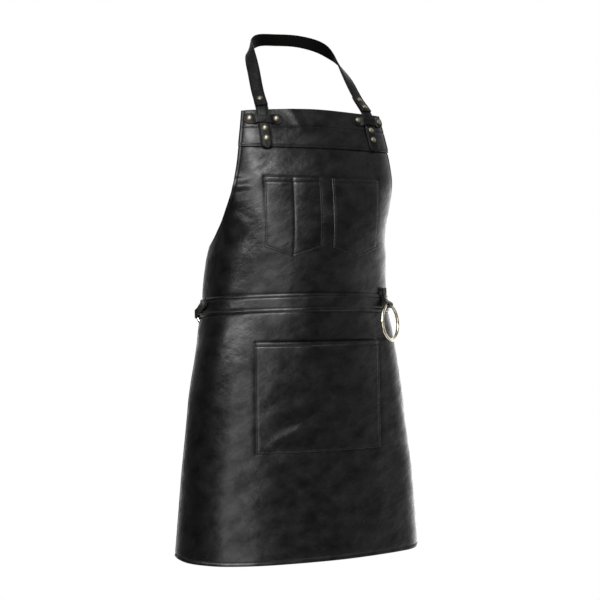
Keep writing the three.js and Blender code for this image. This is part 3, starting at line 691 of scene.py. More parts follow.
waist_seams = []
run = seam_run(EDGE_SEAM - WAIST_HALF, WAIST_HALF - EDGE_SEAM)
for row in WAISTBAND_SEAMS:
    waist_seams += both_faces(run, WAISTBAND_FOOT + row - waist_drop(run), BAND_FACE - THREAD_SUNK)
waist_stitching = sew("waistband_stitching", waist_seams)


# Chest pockets: two patches of the same hide with a pointed foot, turned under and sewn close to the
# edge at the sides and foot. The mouth has a stitched hem; the right pocket has a pen slot sewn down
# its middle.
CHEST_SLACK = 1.2
CHEST_MOUTH_SEAM = 9.0
CHEST_STEP = 3.6
POCKET_BASE = 0.12
POCKET_SEAM = 3.4
POCKET_SEAM_PULL = 0.5
POCKET_THREAD_SUNK = 0.75 * THREAD_SUNK
POCKET_SEAM_END = 1.5
SLOT_PULL = 1.3
SLOT_THREAD_SUNK = 0.15


def pocket_slack(share_across, share_up, amount, slots):
    return amount * np.abs(np.sin(slots * math.pi * share_across)) * share_up**2


def patch_pocket(name, node, middle, width, top, side, point, amount, mouth_seam, step, slots=1):
    slot_places = [width * k / slots for k in range(1, slots)]
    columns = spread(width, step, [POCKET_SEAM, width - POCKET_SEAM] + slot_places)
    if point:
        columns = np.unique(np.append(columns, width / 2))
    columns = columns[None, :]
    rows = spread(side + point, step, (POCKET_SEAM, side + point - mouth_seam))[:, None]
    full = side + point * (1 - np.abs(2 * columns / width - 1))
    mouth = side + point - rows
    share = np.clip((rows - EDGE_MARGIN) / (side + point - 2 * EDGE_MARGIN), 0, 1)
    rise = np.minimum(rows, EDGE_MARGIN) + share * (full - 2 * EDGE_MARGIN)
    rise = rise + EDGE_MARGIN - np.minimum(mouth, EDGE_MARGIN)
    across = middle - width / 2 + columns + 0 * rows
    sewn = np.minimum(np.minimum(columns, width - columns), rows)
    puff = pocket_slack(columns / width, rise / full, amount, slots) + POCKET_PRESS * pressed_line(sewn)
    face = POCKET_BASE + PANEL + puff + sewn_edge(sewn, POCKET_SEAM, POCKET_SEAM_PULL)
    face = face + sewn_edge(mouth, mouth_seam)
    for place in slot_places:
        face = face + SLOT_PULL * drawn_line(columns - place)
    back = POCKET_BASE + puff + rounded(np.minimum(sewn, mouth), BASE_ROUND)
    pocket = leather_wall(name, across, top - full + rise, face, back, hide_faces)
    fit(pocket, "apron", node)

    thread = POCKET_BASE + PANEL - POCKET_THREAD_SUNK
    reach = width / 2 - POCKET_SEAM
    run = seam_run(-reach, reach)
    foot = top - side - point * (1 - 2 * np.abs(run) / width) + POCKET_SEAM
    seams = both_faces(middle + run, foot, thread)
    upright = seam_run(top - side + POCKET_SEAM, top - POCKET_SEAM_END)
    for edge in (-reach, reach):
        seams += both_faces(middle + edge, upright, thread)
    slot_upright = seam_run(top - side - point + POCKET_SEAM, top - POCKET_SEAM_END)
    for place in slot_places:
        seams += both_faces(middle - width / 2 + place, slot_upright, thread - SLOT_THREAD_SUNK)
    mouth_puff = pocket_slack(run / width + 0.5, 1 - mouth_seam / side, amount, slots)
    seams.append((middle + run, top - mouth_seam + 0 * run, thread + mouth_puff, 1))
    return pocket, sew(node + "_stitching", seams)


for node, side, slots in (("chest_pocket", 1, 1), ("pen_pocket", -1, 2)):
    pocket, pocket_stitching = patch_pocket(
        node + "_leather", node, side * CHEST_MIDDLE, CHEST_WIDTH, CHEST_TOP, CHEST_SIDE, CHEST_POINT,
        CHEST_SLACK, CHEST_MOUTH_SEAM, CHEST_STEP, slots,
    )


# Skirt pocket: one wide patch of the same hide at the front of the skirt, turned under and sewn close
# to the edge at its sides and foot, with a stitched hem along its slightly slack mouth.
WIDE_SLACK = 3.0
WIDE_MOUTH_SEAM = 7.5
WIDE_STEP = 4.5

wide_pocket, wide_stitching = patch_pocket(
    "skirt_pocket_leather", "skirt_pocket", 0.0, WIDE_WIDTH, WIDE_TOP, WIDE_HEIGHT, 0.0,
    WIDE_SLACK, WIDE_MOUTH_SEAM, WIDE_STEP,
)


# Strap tabs: two short straps of firmer black leather 2.6 mm thick, with a round lower end. They are
# riveted to the bib and carry the neck strap; a groove is pressed in along each edge.
STRAP_WIDTH = 24.0
STRAP_THICKNESS = 2.6
STRAP_GAP = 0.6
EDGE_GROOVE = 0.6
BACK_GROOVE = 0.4
CORNER_ROUND = 0.1
END_ROUND = 0.5
FLESH_SHARE = 0.2
TAB_BASE = 3.0
TAB_ABOVE_BIB = 50.0
TAB_TAPER = 2.2
TAB_TAPER_RUN = 36.0
TIP_SHARE = 0.12
TIP_STEPS = 14
SHANK_STEPS = 44
ROUTE_STEPS = 60
ROUTE_REACH = 1.5
SMOOTH_ANGLE = math.radians(50)

# the way up the bib: across and height, from the tip of each tab to the bib's top
LEFT_STOPS = [(117, -241.5), (113.5, -207), (111.5, -183), (109.5, -168)]
RIGHT_STOPS = [(-107, -243), (-107.5, -207), (-108, -183), (-108, -168)]

# the way round the loop of the neck strap: x, y, z and the heading of the outer face
STRAP_LOOP = [
    (103.5, -163, -136, 14),
    (95.5, -129, -91, 22),
    (84, -83, -41, 62),
    (72, -43, -15, 108),
    (42, -13, -1, 150),
    (0, -3.2, 0, 180),
    (-34, -13, -4.5, 208),
    (-62, -43, -20, 250),
    (-84, -83, -43, 298),
    (-98, -129, -91, 338),
    (-104, -163, -136, 346),
]

strap_hide = black_hide(
    "strap_hide",
    dark=(0.002, 0.002, 0.0021, 1),
    light=(0.004, 0.004, 0.0041, 1),
    rough=(0.42, 0.56),
    pebble=1100.0,
    cloud=60.0,
    gloss=0.23,
)
strap_back, strap_back_shader = new_finish(
    "strap_back", Metallic=0.0, Specular_IOR_Level=0.05, Base_Color=(0.0016, 0.0015, 0.0014, 1)
)
strap_back_nap = add_node(strap_back, "ShaderNodeTexNoise", Scale=500.0, Detail=5.0, Roughness=0.65)
strap_back_place = add_node(strap_back, "ShaderNodeTexCoord").outputs["UV"]
strap_back.node_tree.links.new(strap_back_place, strap_back_nap.inputs["Vector"])
strap_back_rough = ramp(strap_back, strap_back_nap.outputs["Fac"], [(0.3, grey(0.7)), (0.7, grey(0.9))])
strap_back.node_tree.links.new(strap_back_rough, strap_back_shader.inputs["Roughness"])


def stop_on_bib(across, height, turns):
    across = np.array(float(across))
    height = np.array(float(height))
    here = wrapped(across, height, 0)
    outward = wrapped(across, height, 1) - here
    heading = math.degrees(math.atan2(outward[0], -outward[1]))
    return (*wrapped(across, height, TAB_BASE), 360 * turns + heading)


strap_route = [stop_on_bib(across, height, 0) for across, height in LEFT_STOPS]
strap_route += STRAP_LOOP
strap_route += [stop_on_bib(across, height, 1) for across, height in reversed(RIGHT_STOPS)]
strap_route = np.array(strap_route, dtype=float)


def curve_between(start, end, slope_start, slope_end, t):
    bend = -3 * start + 3 * end - 2 * slope_start - slope_end
    return start + slope_start * t + bend * t**2 + (2 * start - 2 * end + slope_start + slope_end) * t**3


def smooth_path(points, steps):
    before = 2 * points[0] - points[1]
    after = 2 * points[-1] - points[-2]
    posts = np.concatenate([[before], points, [after]])
    t = np.linspace(0, 1, steps, endpoint=False)[:, None]
    path = []
    for k in range(1, len(posts) - 2):
        p0, p1, p2, p3 = posts[k - 1:k + 3]
        d0, d1, d2 = [math.sqrt(np.linalg.norm(b - a)) for a, b in ((p0, p1), (p1, p2), (p2, p3))]
        slope1 = ((p1 - p0) / d0 - (p2 - p0) / (d0 + d1) + (p2 - p1) / d1) * d1
        slope2 = ((p2 - p1) / d1 - (p3 - p1) / (d1 + d2) + (p3 - p2) / d2) * d1
        path.append(curve_between(p1, p2, slope1, slope2, t))
    return np.concatenate(path + [points[-1:]])


def smooth_values(values, steps):
    posts = np.concatenate([values[:1], values, values[-1:]])
    t = np.linspace(0, 1, steps, endpoint=False)
    run = []
    for k in range(1, len(posts) - 2):
        v0, v1, v2, v3 = posts[k - 1:k + 3]
        run.append(curve_between(v1, v2, 0.5 * (v2 - v0), 0.5 * (v3 - v1), t))
    return np.concatenate(run + [values[-1:]])


strap_line = smooth_path(strap_route[:, :3], ROUTE_STEPS)
strap_facing = np.radians(smooth_values(strap_route[:, 3], ROUTE_STEPS))
strap_runs = path_runs(strap_line)
strap_length = strap_runs[-1]


def strap_frame(distances):
    ahead = np.minimum(distances + ROUTE_REACH, strap_length)
    behind = np.maximum(distances - ROUTE_REACH, 0)
    along = unit(on_path(ahead, strap_runs, strap_line) - on_path(behind, strap_runs, strap_line))
    facing = np.interp(distances, strap_runs, strap_facing)
    out = np.stack([np.sin(facing), -np.cos(facing), 0 * facing], axis=-1)
    out = unit(out - along * np.sum(out * along, axis=-1)[..., None])
    return on_path(distances, strap_runs, strap_line), along, out, np.cross(along, out)


def strap_distance(hand, above):
    heights = strap_line[:, 2]
    if hand == "left":
        crossing = np.argmax(heights >= BIB_TOP)
        share = (BIB_TOP - heights[crossing - 1]) / (heights[crossing] - heights[crossing - 1])
        return strap_runs[crossing - 1] + share * (strap_runs[crossing] - strap_runs[crossing - 1]) + above
    crossing = len(heights) - 1 - np.argmax(heights[::-1] >= BIB_TOP)
    share = (heights[crossing] - BIB_TOP) / (heights[crossing] - heights[crossing + 1])
    return strap_runs[crossing] + share * (strap_runs[crossing + 1] - strap_runs[crossing]) - above


# section of a strap: place across as a share of its half width, and depth, once round
face_side = np.array([0.94, 0.88, 0.83, 0.78, 0.73, 0.68, 0.33, 0.0])
face_depth = STRAP_THICKNESS - EDGE_GROOVE * np.array([0.0, 0.0, 0.5, 1.0, 0.5, 0.0, 0.0, 0.0])
face_depth[0] = face_depth[0] - CORNER_ROUND
edge_side = np.array([-0.985, -1.0, -1.0, -0.985])
edge_depth = STRAP_THICKNESS * np.array([0.82, 0.62, 0.38, 0.18])
back_side = np.array([-0.94, -0.84, -0.76, -0.68, -0.35, 0.0])
back_depth = np.array([CORNER_ROUND, 0.0, BACK_GROOVE, 0.0, 0.0, 0.0])
section_sides = np.concatenate([
    face_side, -face_side[-2::-1], edge_side, back_side, -back_side[-2::-1], -edge_side[::-1]
])
section_depths = np.concatenate([
    face_depth, face_depth[-2::-1], edge_depth, back_depth, back_depth[-2::-1], edge_depth[::-1]
])
section_flesh = section_depths < FLESH_SHARE * STRAP_THICKNESS
section_flesh = section_flesh & np.roll(section_flesh, -1)


def strap_tube(name, points, runs, sides, finishes, flesh):
    rings, count = points.shape[:2]
    at = np.arange(rings * count).reshape(rings, count)
    beside = np.roll(at, -1, axis=1)
    walls = np.stack([at[:-1], at[1:], beside[1:], beside[:-1]], axis=-1).reshape(-1, 4)
    faces = walls.tolist() + [at[0].tolist(), at[-1][::-1].tolist()]
    girth = np.cumsum(np.abs(np.diff(sides, append=sides[0])))
    flat = np.stack(np.broadcast_arrays(runs[:, None], girth[None, :]), axis=-1).reshape(-1, 2) * MM
    lining = np.concatenate([np.tile(flesh, rings - 1), [False, False]])
    piece = leather_mesh(name, points.reshape(-1, 3) * MM, faces, flat, finishes, lining)
    bpy.ops.object.select_all(action="DESELECT")
    bpy.context.view_layer.objects.active = piece
    piece.select_set(True)
    bpy.ops.object.mode_set(mode="EDIT")
    bpy.ops.mesh.select_all(action="SELECT")
    bpy.ops.mesh.normals_make_consistent(inside=False)
    bpy.ops.object.mode_set(mode="OBJECT")
    bpy.ops.object.shade_smooth_by_angle(angle=SMOOTH_ANGLE)
    return piece


def strap_piece(name, node, distances, halves, base):
    origin, along, out, width = strap_frame(distances)
    span = halves[:, None] * section_sides
    points = origin[:, None] + out[:, None] * (base + section_depths)[:, None]
    points = points + width[:, None] * span[..., None]
    sides = section_sides * STRAP_WIDTH / 2
    piece = strap_tube(name, points, distances, sides, (strap_hide, strap_back), section_flesh)
    fit(piece, "apron", node)


def round_half(from_end, half):
    inside = np.clip(half - from_end, 0, half)
    return np.maximum(np.sqrt(half**2 - inside**2), TIP_SHARE * half)


for hand in ("left", "right"):
    tip = 0.0 if hand == "left" else strap_length
    length = abs(strap_distance(hand, TAB_ABOVE_BIB) - tip)
    tip_run = (STRAP_WIDTH / 2) * (1 - np.cos(np.linspace(0, math.pi / 2, TIP_STEPS)))
    shank = np.linspace(STRAP_WIDTH / 2, length - END_ROUND, SHANK_STEPS)[1:]
    from_tip = np.concatenate([tip_run, shank, [length]])
    halves = round_half(from_tip, STRAP_WIDTH / 2)
    halves = halves - TAB_TAPER * np.clip(1 - (length - from_tip) / TAB_TAPER_RUN, 0, 1)
    halves[-1] = halves[-1] - END_ROUND
    distances = from_tip if hand == "left" else strap_length - from_tip
    strap_piece("strap_tab_" + hand + "_leather", "strap_tab_" + hand, distances, halves, 0.0)


# Neck strap: one long strap of the same firm leather, the loop that carries the apron. Its ends lie on
# the upper ends of the tabs and are riveted there; it twists as it turns round to the back.
STRAP_END_ABOVE_BIB = 5.0
STRAP_STEPS = 200

strap_from = strap_distance("left", STRAP_END_ABOVE_BIB)
strap_to = strap_distance("right", STRAP_END_ABOVE_BIB)
strap_stops = np.linspace(strap_from + END_ROUND, strap_to - END_ROUND, STRAP_STEPS)
strap_stops = np.concatenate([[strap_from], strap_stops, [strap_to]])
strap_halves = np.full(len(strap_stops), STRAP_WIDTH / 2)
strap_halves[[0, -1]] -= END_ROUND
strap_piece("neck_strap_leather", "neck_strap", strap_stops, strap_halves, STRAP_THICKNESS + STRAP_GAP)


# Strap keepers: two small waisted cross straps of the firm leather that hold the tabs down at the
# bib's top edge. Each bends up over its tab and is riveted through the band at both ends.
KEEPER_LENGTH = 73.0
KEEPER_END = 20.0
KEEPER_WAIST = 13.5
KEEPER_WAIST_RUN = 6.0
KEEPER_WIDENS = 18.0
KEEPER_BRIDGE = 13.0
KEEPER_SLOPE = 10.0
KEEPER_BASE = TAB_BASE - 0.5
KEEPER_LIFT = STRAP_THICKNESS + STRAP_GAP + 0.9
KEEPER_ROUND = 0.7
KEEPER_ROUND_REACH = 0.45
KEEPER_END_STEPS = 12
KEEPER_STEPS = 24
KEEPER_ROWS = [0, 0.02, 0.05, 0.1, 0.18, 0.3, 0.4, 0.5, 0.6, 0.7, 0.82, 0.9, 0.95, 0.98, 1]
KEEPERS = {"left": (111.0, -182.0), "right": (-108.5, -187.5)}

for hand, (middle, level) in KEEPERS.items():
    ends = KEEPER_END / 2 * (1 - np.cos(np.linspace(0, math.pi / 2, KEEPER_END_STEPS)))
    inner = np.linspace(KEEPER_END / 2, KEEPER_LENGTH / 2, KEEPER_STEPS)[1:]
    from_end = np.concatenate([ends, inner])
    run = np.concatenate([from_end - KEEPER_LENGTH / 2, (KEEPER_LENGTH / 2 - from_end)[-2::-1]])[None, :]
    to_end = KEEPER_LENGTH / 2 - np.abs(run)
    widening = eased(np.clip((np.abs(run) - KEEPER_WAIST_RUN) / KEEPER_WIDENS, 0, 1))
    waist = KEEPER_WAIST + (KEEPER_END - KEEPER_WAIST) * widening
    width = np.minimum(2 * round_half(to_end, KEEPER_END / 2), waist)
    share = np.array(KEEPER_ROWS)[:, None]
    across = middle + run + 0 * share
    height = level + width * (share - 0.5)
    lowered = eased(np.clip((np.abs(run) - KEEPER_BRIDGE) / KEEPER_SLOPE, 0, 1))
    base = KEEPER_BASE + (1 - lowered) * KEEPER_LIFT
    edge = np.minimum(width * np.minimum(share, 1 - share), to_end)
    rounding = KEEPER_ROUND * np.exp(-edge / KEEPER_ROUND_REACH)
    face = base + PANEL - rounding
    name = "strap_keeper_" + hand
    keeper = leather_wall(name + "_leather", across, height, face, base + rounding, (strap_hide,))
    fit(keeper, "apron", name)


# Rivets: domed caps of antique brass on a short post, pressed through the leather onto a flat back
# cap. The domes are coloured brightest at the crown and darker towards the rim, which is partly rubbed
# wear and partly a painted highlight on the dome. Thirteen are used, all alike but for length.
CAP_RADIUS = 6.0
CAP_HEIGHT = 2.9
POST_RADIUS = 2.0
BACK_CAP_RADIUS = 5.0
BACK_CAP_HEIGHT = 1.0
SEAT_GAP = 0.05
GRIP_SPARE = 0.1
TAB_GRIP_SPARE = 0.5
DOME_FROM = 0.8
RIM_FROM = 0.9
RIM_RUBBED = 0.35
RIVET_SIDES = 28
RIVET_SMOOTH_ANGLE = math.radians(40)

rivet_brass, rivet_shader = new_finish("antique_brass", Metallic=0.85)
rivet_links = rivet_brass.node_tree.links
# value per point of the dome: brass rubbed bright towards the crown, which also paints a highlight there,
# and darker towards the rim
rivet_crown_wear_and_highlight = add_node(rivet_brass, "ShaderNodeAttribute")
rivet_crown_wear_and_highlight.attribute_name = "crown_wear_and_highlight"
rivet_place = add_node(rivet_brass, "ShaderNodeTexCoord").outputs["Object"]
rivet_stain = add_node(rivet_brass, "ShaderNodeTexNoise", Scale=900.0, Detail=5.0, Roughness=0.65)
rivet_links.new(rivet_place, rivet_stain.inputs["Vector"])
rivet_lift = add_node(
    rivet_brass, "ShaderNodeMapRange", From_Min=0.25, From_Max=0.75, To_Min=0.65, To_Max=1.15
)
rivet_links.new(rivet_stain.outputs["Fac"], rivet_lift.inputs["Value"])
rivet_mix = add_node(rivet_brass, "ShaderNodeMath")
rivet_mix.operation = "MULTIPLY"
rivet_links.new(rivet_crown_wear_and_highlight.outputs["Fac"], rivet_mix.inputs[0])
rivet_links.new(rivet_lift.outputs["Result"], rivet_mix.inputs[1])
rivet_wear_and_highlight = rivet_mix.outputs["Value"]
rivet_tone = [(0.0, (0.02, 0.017, 0.01, 1)), (0.4, (0.11, 0.097, 0.066, 1)), (1.0, (0.34, 0.315, 0.25, 1))]
rivet_links.new(ramp(rivet_brass, rivet_wear_and_highlight, rivet_tone), rivet_shader.inputs["Base Color"])
rivet_polish = ramp(rivet_brass, rivet_wear_and_highlight, [(0.0, grey(0.55)), (1.0, grey(0.4))])
rivet_links.new(rivet_polish, rivet_shader.inputs["Roughness"])


def rivet_piece(node, seat, out, grip):
    profile = [
        (BACK_CAP_RADIUS, -grip - BACK_CAP_HEIGHT),
        (BACK_CAP_RADIUS, -grip - 0.25),
        (BACK_CAP_RADIUS - 0.25, -grip),
        (POST_RADIUS, -grip),
        (POST_RADIUS, 0.0),
        (CAP_RADIUS - 0.2, 0.0),
        (CAP_RADIUS, 0.2),
        (CAP_RADIUS, 0.55),
        (CAP_RADIUS - 0.2, 0.75),
        (CAP_RADIUS - 0.7, 0.85),
        (CAP_RADIUS - 0.85, 0.95),
        (4.6, 1.5),
        (3.8, 2.05),
        (2.7, 2.5),
        (1.4, 2.8),
        (0.3, CAP_HEIGHT),
    ]
    bpy.ops.object.select_all(action="DESELECT")
    bpy.ops.mesh.primitive_circle_add(vertices=RIVET_SIDES, radius=profile[0][0], fill_type="NGON")
    bpy.ops.object.mode_set(mode="EDIT")
    bpy.ops.mesh.select_all(action="SELECT")
    bpy.ops.transform.translate(value=(0, 0, profile[0][1]))
    for (radius, level), (next_radius, next_level) in zip(profile, profile[1:]):
        bpy.ops.mesh.extrude_region_move(TRANSFORM_OT_translate={"value": (0, 0, next_level - level)})
        share = next_radius / radius
        bpy.ops.transform.resize(value=(share, share, 1), center_override=(0, 0, next_level))
    bpy.ops.mesh.select_all(action="SELECT")
    bpy.ops.mesh.normals_make_consistent(inside=False)
    bpy.ops.object.mode_set(mode="OBJECT")
    rivet = bpy.context.object
    rivet.name = node + "_brass"
    rivet.data.name = rivet.name
    # brightest at the crown and falling off towards the rim: rubbed wear, and a painted highlight on the
    # dome as well
    crown_wear_and_highlight = rivet.data.attributes.new("crown_wear_and_highlight", "FLOAT", "POINT")
    wear_and_highlight = []
    for corner in rivet.data.vertices:
        reach = math.hypot(corner.co.x, corner.co.y) / CAP_RADIUS
        on_dome = corner.co.z > DOME_FROM
        wear_and_highlight.append(max(0.0, 1.0 - reach**3) if on_dome else RIM_RUBBED * (reach > RIM_FROM))
    crown_wear_and_highlight.data.foreach_set("value", wear_and_highlight)
    turn = Vector((0, 0, 1)).rotation_difference(Vector(out)).to_matrix().to_4x4()
    rivet.data.transform(Matrix.Translation(Vector(seat) * MM) @ turn @ Matrix.Scale(MM, 4))
    bpy.ops.object.shade_smooth_by_angle(angle=RIVET_SMOOTH_ANGLE)
    rivet.data.materials.append(rivet_brass)
    fit(rivet, "apron", node)


def wrapped_frame(across, height, run_across, run_down):
    def place(aside, up):
        return wrapped(np.array(float(across + aside)), np.array(float(height + up)), 0.0)

    origin = place(0, 0)
    along = unit(place(run_across, -run_down) - origin)
    out = np.cross(place(1, 0) - place(-1, 0), place(0, 1) - place(0, -1))
    out = unit(out - along * np.dot(out, along))
    return origin, along, out, np.cross(along, out)


KEEPER_RIVET_SPACING = 50.0
TAB_RIVETS = {"left": (33.5, 53.0), "right": (39.5, 59.5)}
STRAP_RIVETS = {"left": (15.0, 38.0), "right": (23.5,)}

for hand, (middle, level) in KEEPERS.items():
    for number, end in ((1, -1), (2, 1)):
        across = middle + end * KEEPER_RIVET_SPACING / 2
        origin, along, out, width = wrapped_frame(across, level, 0, 1)
        grip = KEEPER_BASE + PANEL + SEAT_GAP
        face = grip + float(relief(np.array(across), np.array(level)))
        node = "keeper_rivet_%s_%d" % (hand, number)
        rivet_piece(node, origin + out * face, out, grip + PANEL + GRIP_SPARE)
for hand in ("left", "right"):
    for number, below in enumerate(TAB_RIVETS[hand], 1):
        origin, along, out, width = strap_frame(np.array(strap_distance(hand, -below)))
        face = STRAP_THICKNESS + SEAT_GAP
        node = "tab_rivet_%s_%d" % (hand, number)
        rivet_piece(node, origin + out * face, out, face + TAB_BASE + PANEL + TAB_GRIP_SPARE)
    for number, above in enumerate(STRAP_RIVETS[hand], 1):
        origin, along, out, width = strap_frame(np.array(strap_distance(hand, above)))
        face = 2 * STRAP_THICKNESS + STRAP_GAP + SEAT_GAP
        node = "strap_rivet_%s_%d" % (hand, number)
        rivet_piece(node, origin + out * face, out, face + GRIP_SPARE)


# Ring tabs: strips of the same leather folded round a ring and held by one rivet each. The left one
# hangs on the waistband at the side, the right one grips the waistband's back end.
RING_TAB_WIDTH = 16.0
RING_TAB_HALF = RING_TAB_WIDTH / 2
FOLD_RADIUS = 4.4
FOLD_STEPS = 8
FOLD_SMOOTH = 8
WAIST_BOW = 2.1
BACK_SPARE = 0.6

# way: the rivet's place and how the tab runs from it; legs: their inner faces; fold: along and outward
RING_TABS = {
    "left": {
        "way": (150.0, -519.5, 0, 30),
        "legs": (5.0, 5.3),
        "tail": 18.5,
        "straight": 6.0,
        "fold": (15.0, 13.5),
    },
    "right": {
        "way": (-252.0, -530.6, -56, 19.4),
        "legs": (-PANEL - WAIST_BOW, 3.0 + WAIST_BOW),
        "tail": 9.0,
        "straight": 52.0,
        "fold": (61.0, 2.0),
    },
}

# section of a ring tab: shares of its half width and of half its thickness, once round
tab_side = np.array([-0.9, -0.725, 0.0, 0.725, 0.9, 0.975, 1.0, 1.0, 0.975]) * RING_TAB_HALF
tab_side = np.concatenate([tab_side, -tab_side])
tab_rise = np.array([1.0, 1.0, 1.0, 1.0, 1.0, 0.8, 0.4, -0.4, -0.8]) * PANEL / 2
tab_rise = np.concatenate([tab_rise, -tab_rise])


def ring_tab_piece(node, tab):
    origin, along, out, width = wrapped_frame(*tab["way"])
    inner_leg, outer_leg = tab["legs"]
    fold_along, fold_out = tab["fold"]
    lean = math.atan2(fold_out - (inner_leg + outer_leg) / 2, fold_along - tab["straight"])
    middle_radius = FOLD_RADIUS + PANEL / 2
    leg_stops = [-tab["tail"], -0.5 * tab["tail"], 0.6 * tab["straight"]]
    stops = [(at, outer_leg + PANEL / 2, 0) for at in leg_stops]
    for k in range(FOLD_STEPS + 1):
        angle = lean + math.pi * (0.5 - k / FOLD_STEPS)
        stop_along = fold_along + middle_radius * math.cos(angle)
        stops.append((stop_along, fold_out + middle_radius * math.sin(angle), 0))
    stops += [(at, inner_leg - PANEL / 2, 0) for at in reversed(leg_stops)]
    line = smooth_path(np.array(stops), FOLD_SMOOTH)[:, :2]
    tangent = unit(np.gradient(line, axis=0))
    normal = np.stack([-tangent[:, 1], tangent[:, 0]], axis=-1)
    spot = line[:, None] + normal[:, None] * tab_rise[:, None]
    points = origin + spot[..., :1] * along + spot[..., 1:] * out + tab_side[:, None] * width
    flesh = np.zeros(len(tab_side), dtype=bool)
    piece = strap_tube(node + "_leather", points, path_runs(line), tab_side, (strap_hide,), flesh)
    fit(piece, "apron", node)


for hand, tab in RING_TABS.items():
    ring_tab_piece("ring_tab_" + hand, tab)
    origin, along, out, width = wrapped_frame(*tab["way"])
    face = tab["legs"][1] + PANEL + SEAT_GAP
    back = min(tab["legs"][0] - PANEL, -PANEL) - BACK_SPARE
    rivet_piece("ring_rivet_" + hand, origin + out * face, out, face - back)


# Rings: two rings of round brass wire, bent, brazed and polished, one in each folded tab, where it
# swings freely. The brazed joint sits inside the fold.
RING_RADIUS = 34.0
WIRE_RADIUS = 3.2
WIRE_SIDES = 18
RING_STEPS = 96
JOINT_PINCH = 0.06
JOINT_REACH = 1.4

ring_brass, ring_shader = new_finish("polished_brass", Metallic=1.0)
ring_links = ring_brass.node_tree.links
ring_place = add_node(ring_brass, "ShaderNodeTexCoord").outputs["Object"]
ring_marks = add_node(ring_brass, "ShaderNodeTexNoise", Scale=260.0, Detail=6.0, Roughness=0.7)
ring_links.new(ring_place, ring_marks.inputs["Vector"])
ring_tone = [(0.3, (0.6, 0.54, 0.4, 1)), (0.65, (0.76, 0.71, 0.57, 1))]
ring_links.new(ramp(ring_brass, ring_marks.outputs["Fac"], ring_tone), ring_shader.inputs["Base Color"])
ring_polish = ramp(ring_brass, ring_marks.outputs["Fac"], [(0.3, grey(0.14)), (0.7, grey(0.07))])
ring_links.new(ring_polish, ring_shader.inputs["Roughness"])

# which way each ring lies from the fold: along the tab and outward
RING_LIES = {"left": (1.0, 0.05), "right": (0.0, -1.0)}

for hand, (lie_along, lie_out) in RING_LIES.items():
    origin, along, out, width = wrapped_frame(*RING_TABS[hand]["way"])
    fold_along, fold_out = RING_TABS[hand]["fold"]
    hang = unit(along * lie_along + out * lie_out)
    bow = RING_TAB_HALF**2 / (4 * RING_RADIUS)
    middle = origin + along * fold_along + out * fold_out + hang * (RING_RADIUS - bow)
    bpy.ops.object.select_all(action="DESELECT")
    bpy.ops.mesh.primitive_circle_add(vertices=WIRE_SIDES, radius=WIRE_RADIUS)
    bpy.ops.object.mode_set(mode="EDIT")
    bpy.ops.mesh.select_all(action="SELECT")
    bpy.ops.transform.rotate(value=math.pi / 2, orient_axis="X", center_override=(0, 0, 0))
    bpy.ops.transform.translate(value=(RING_RADIUS, 0, 0))
    bpy.ops.mesh.spin(steps=RING_STEPS, angle=2 * math.pi, center=(0, 0, 0), axis=(0, 0, 1))
    bpy.ops.mesh.select_all(action="SELECT")
    bpy.ops.mesh.remove_doubles(threshold=0.01)
    bpy.ops.mesh.normals_make_consistent(inside=False)
    bpy.ops.object.mode_set(mode="OBJECT")
    ring = bpy.context.object
    ring.name = "ring_" + hand + "_brass"
    ring.data.name = ring.name
    for corner in ring.data.vertices:
        turn = math.atan2(corner.co.x, -corner.co.y)
        pinch = 1 - JOINT_PINCH * math.exp(-((turn * RING_RADIUS / JOINT_REACH) ** 2))
        spoke = Vector((corner.co.x, corner.co.y, 0)).normalized() * RING_RADIUS
        corner.co = spoke + (corner.co - spoke) * pinch
    axes = Matrix((width, hang, np.cross(width, hang))).transposed().to_4x4()
    ring.data.transform(Matrix.Translation(Vector(middle) * MM) @ axes @ Matrix.Scale(MM, 4))
    ring.data.polygons.foreach_set("use_smooth", np.ones(len(ring.data.polygons), dtype=bool))
    ring.data.materials.append(ring_brass)
    fit(ring, "ring_" + hand, "ring_" + hand)


# Studio: a plain pale floor well below the hem, soft light from a bright sweep behind, from the front
# and from two softboxes on the left, and the camera level with the waist. All in metres.
FLOOR_SIZE = 1.6
FLOOR_PLACE = (0, -0.12, -1.42)

bpy.ops.object.select_all(action="DESELECT")
bpy.ops.mesh.primitive_plane_add(size=FLOOR_SIZE, location=(0, 0, 0))
floor = bpy.context.object
floor.name = "studio_floor"
floor.data.transform(Matrix.Translation(FLOOR_PLACE))
floor_paper = new_finish("pale_paper", Roughness=0.9, Base_Color=(0.9, 0.9, 0.9, 1))[0]
floor.data.materials.append(floor_paper)

# light by heading round the apron: 0 is in front, -90 is on the left of the picture
LOW_LIGHT = [
    (-180, 1.1), (-171, 0.3), (-158, 0.06), (-112, 0.02), (-88, 0.04), (-64, 0.1), (-48, 0.52),
    (-32, 1.75), (-18, 2.9), (-6, 0.45), (6, 0.05), (26, 0.06), (48, 0.26), (80, 0.7), (112, 1.9),
    (138, 3.6), (158, 4.2), (171, 2.9), (180, 1.1),
]
HIGH_LIGHT = [
    (-180, 0.5), (-150, 0.2), (-110, 0.1), (-60, 0.4), (-42, 1.9), (-30, 4.9), (-20, 7.4), (-11, 4.6),
    (-4, 0.9), (3, 0.12), (14, 0.08), (40, 0.1), (90, 0.4), (140, 1.0), (180, 0.5),
]
# and by height of the light: straight below to straight above
SKY_RISE = [
    (0.0, 0.1), (0.28, 0.5), (0.35, 1.3), (0.43, 1.2), (0.5, 0.85), (0.56, 0.4), (0.62, 0.6), (0.68, 1.1),
    (0.78, 1.5), (0.88, 0.8), (1.0, 0.5),
]

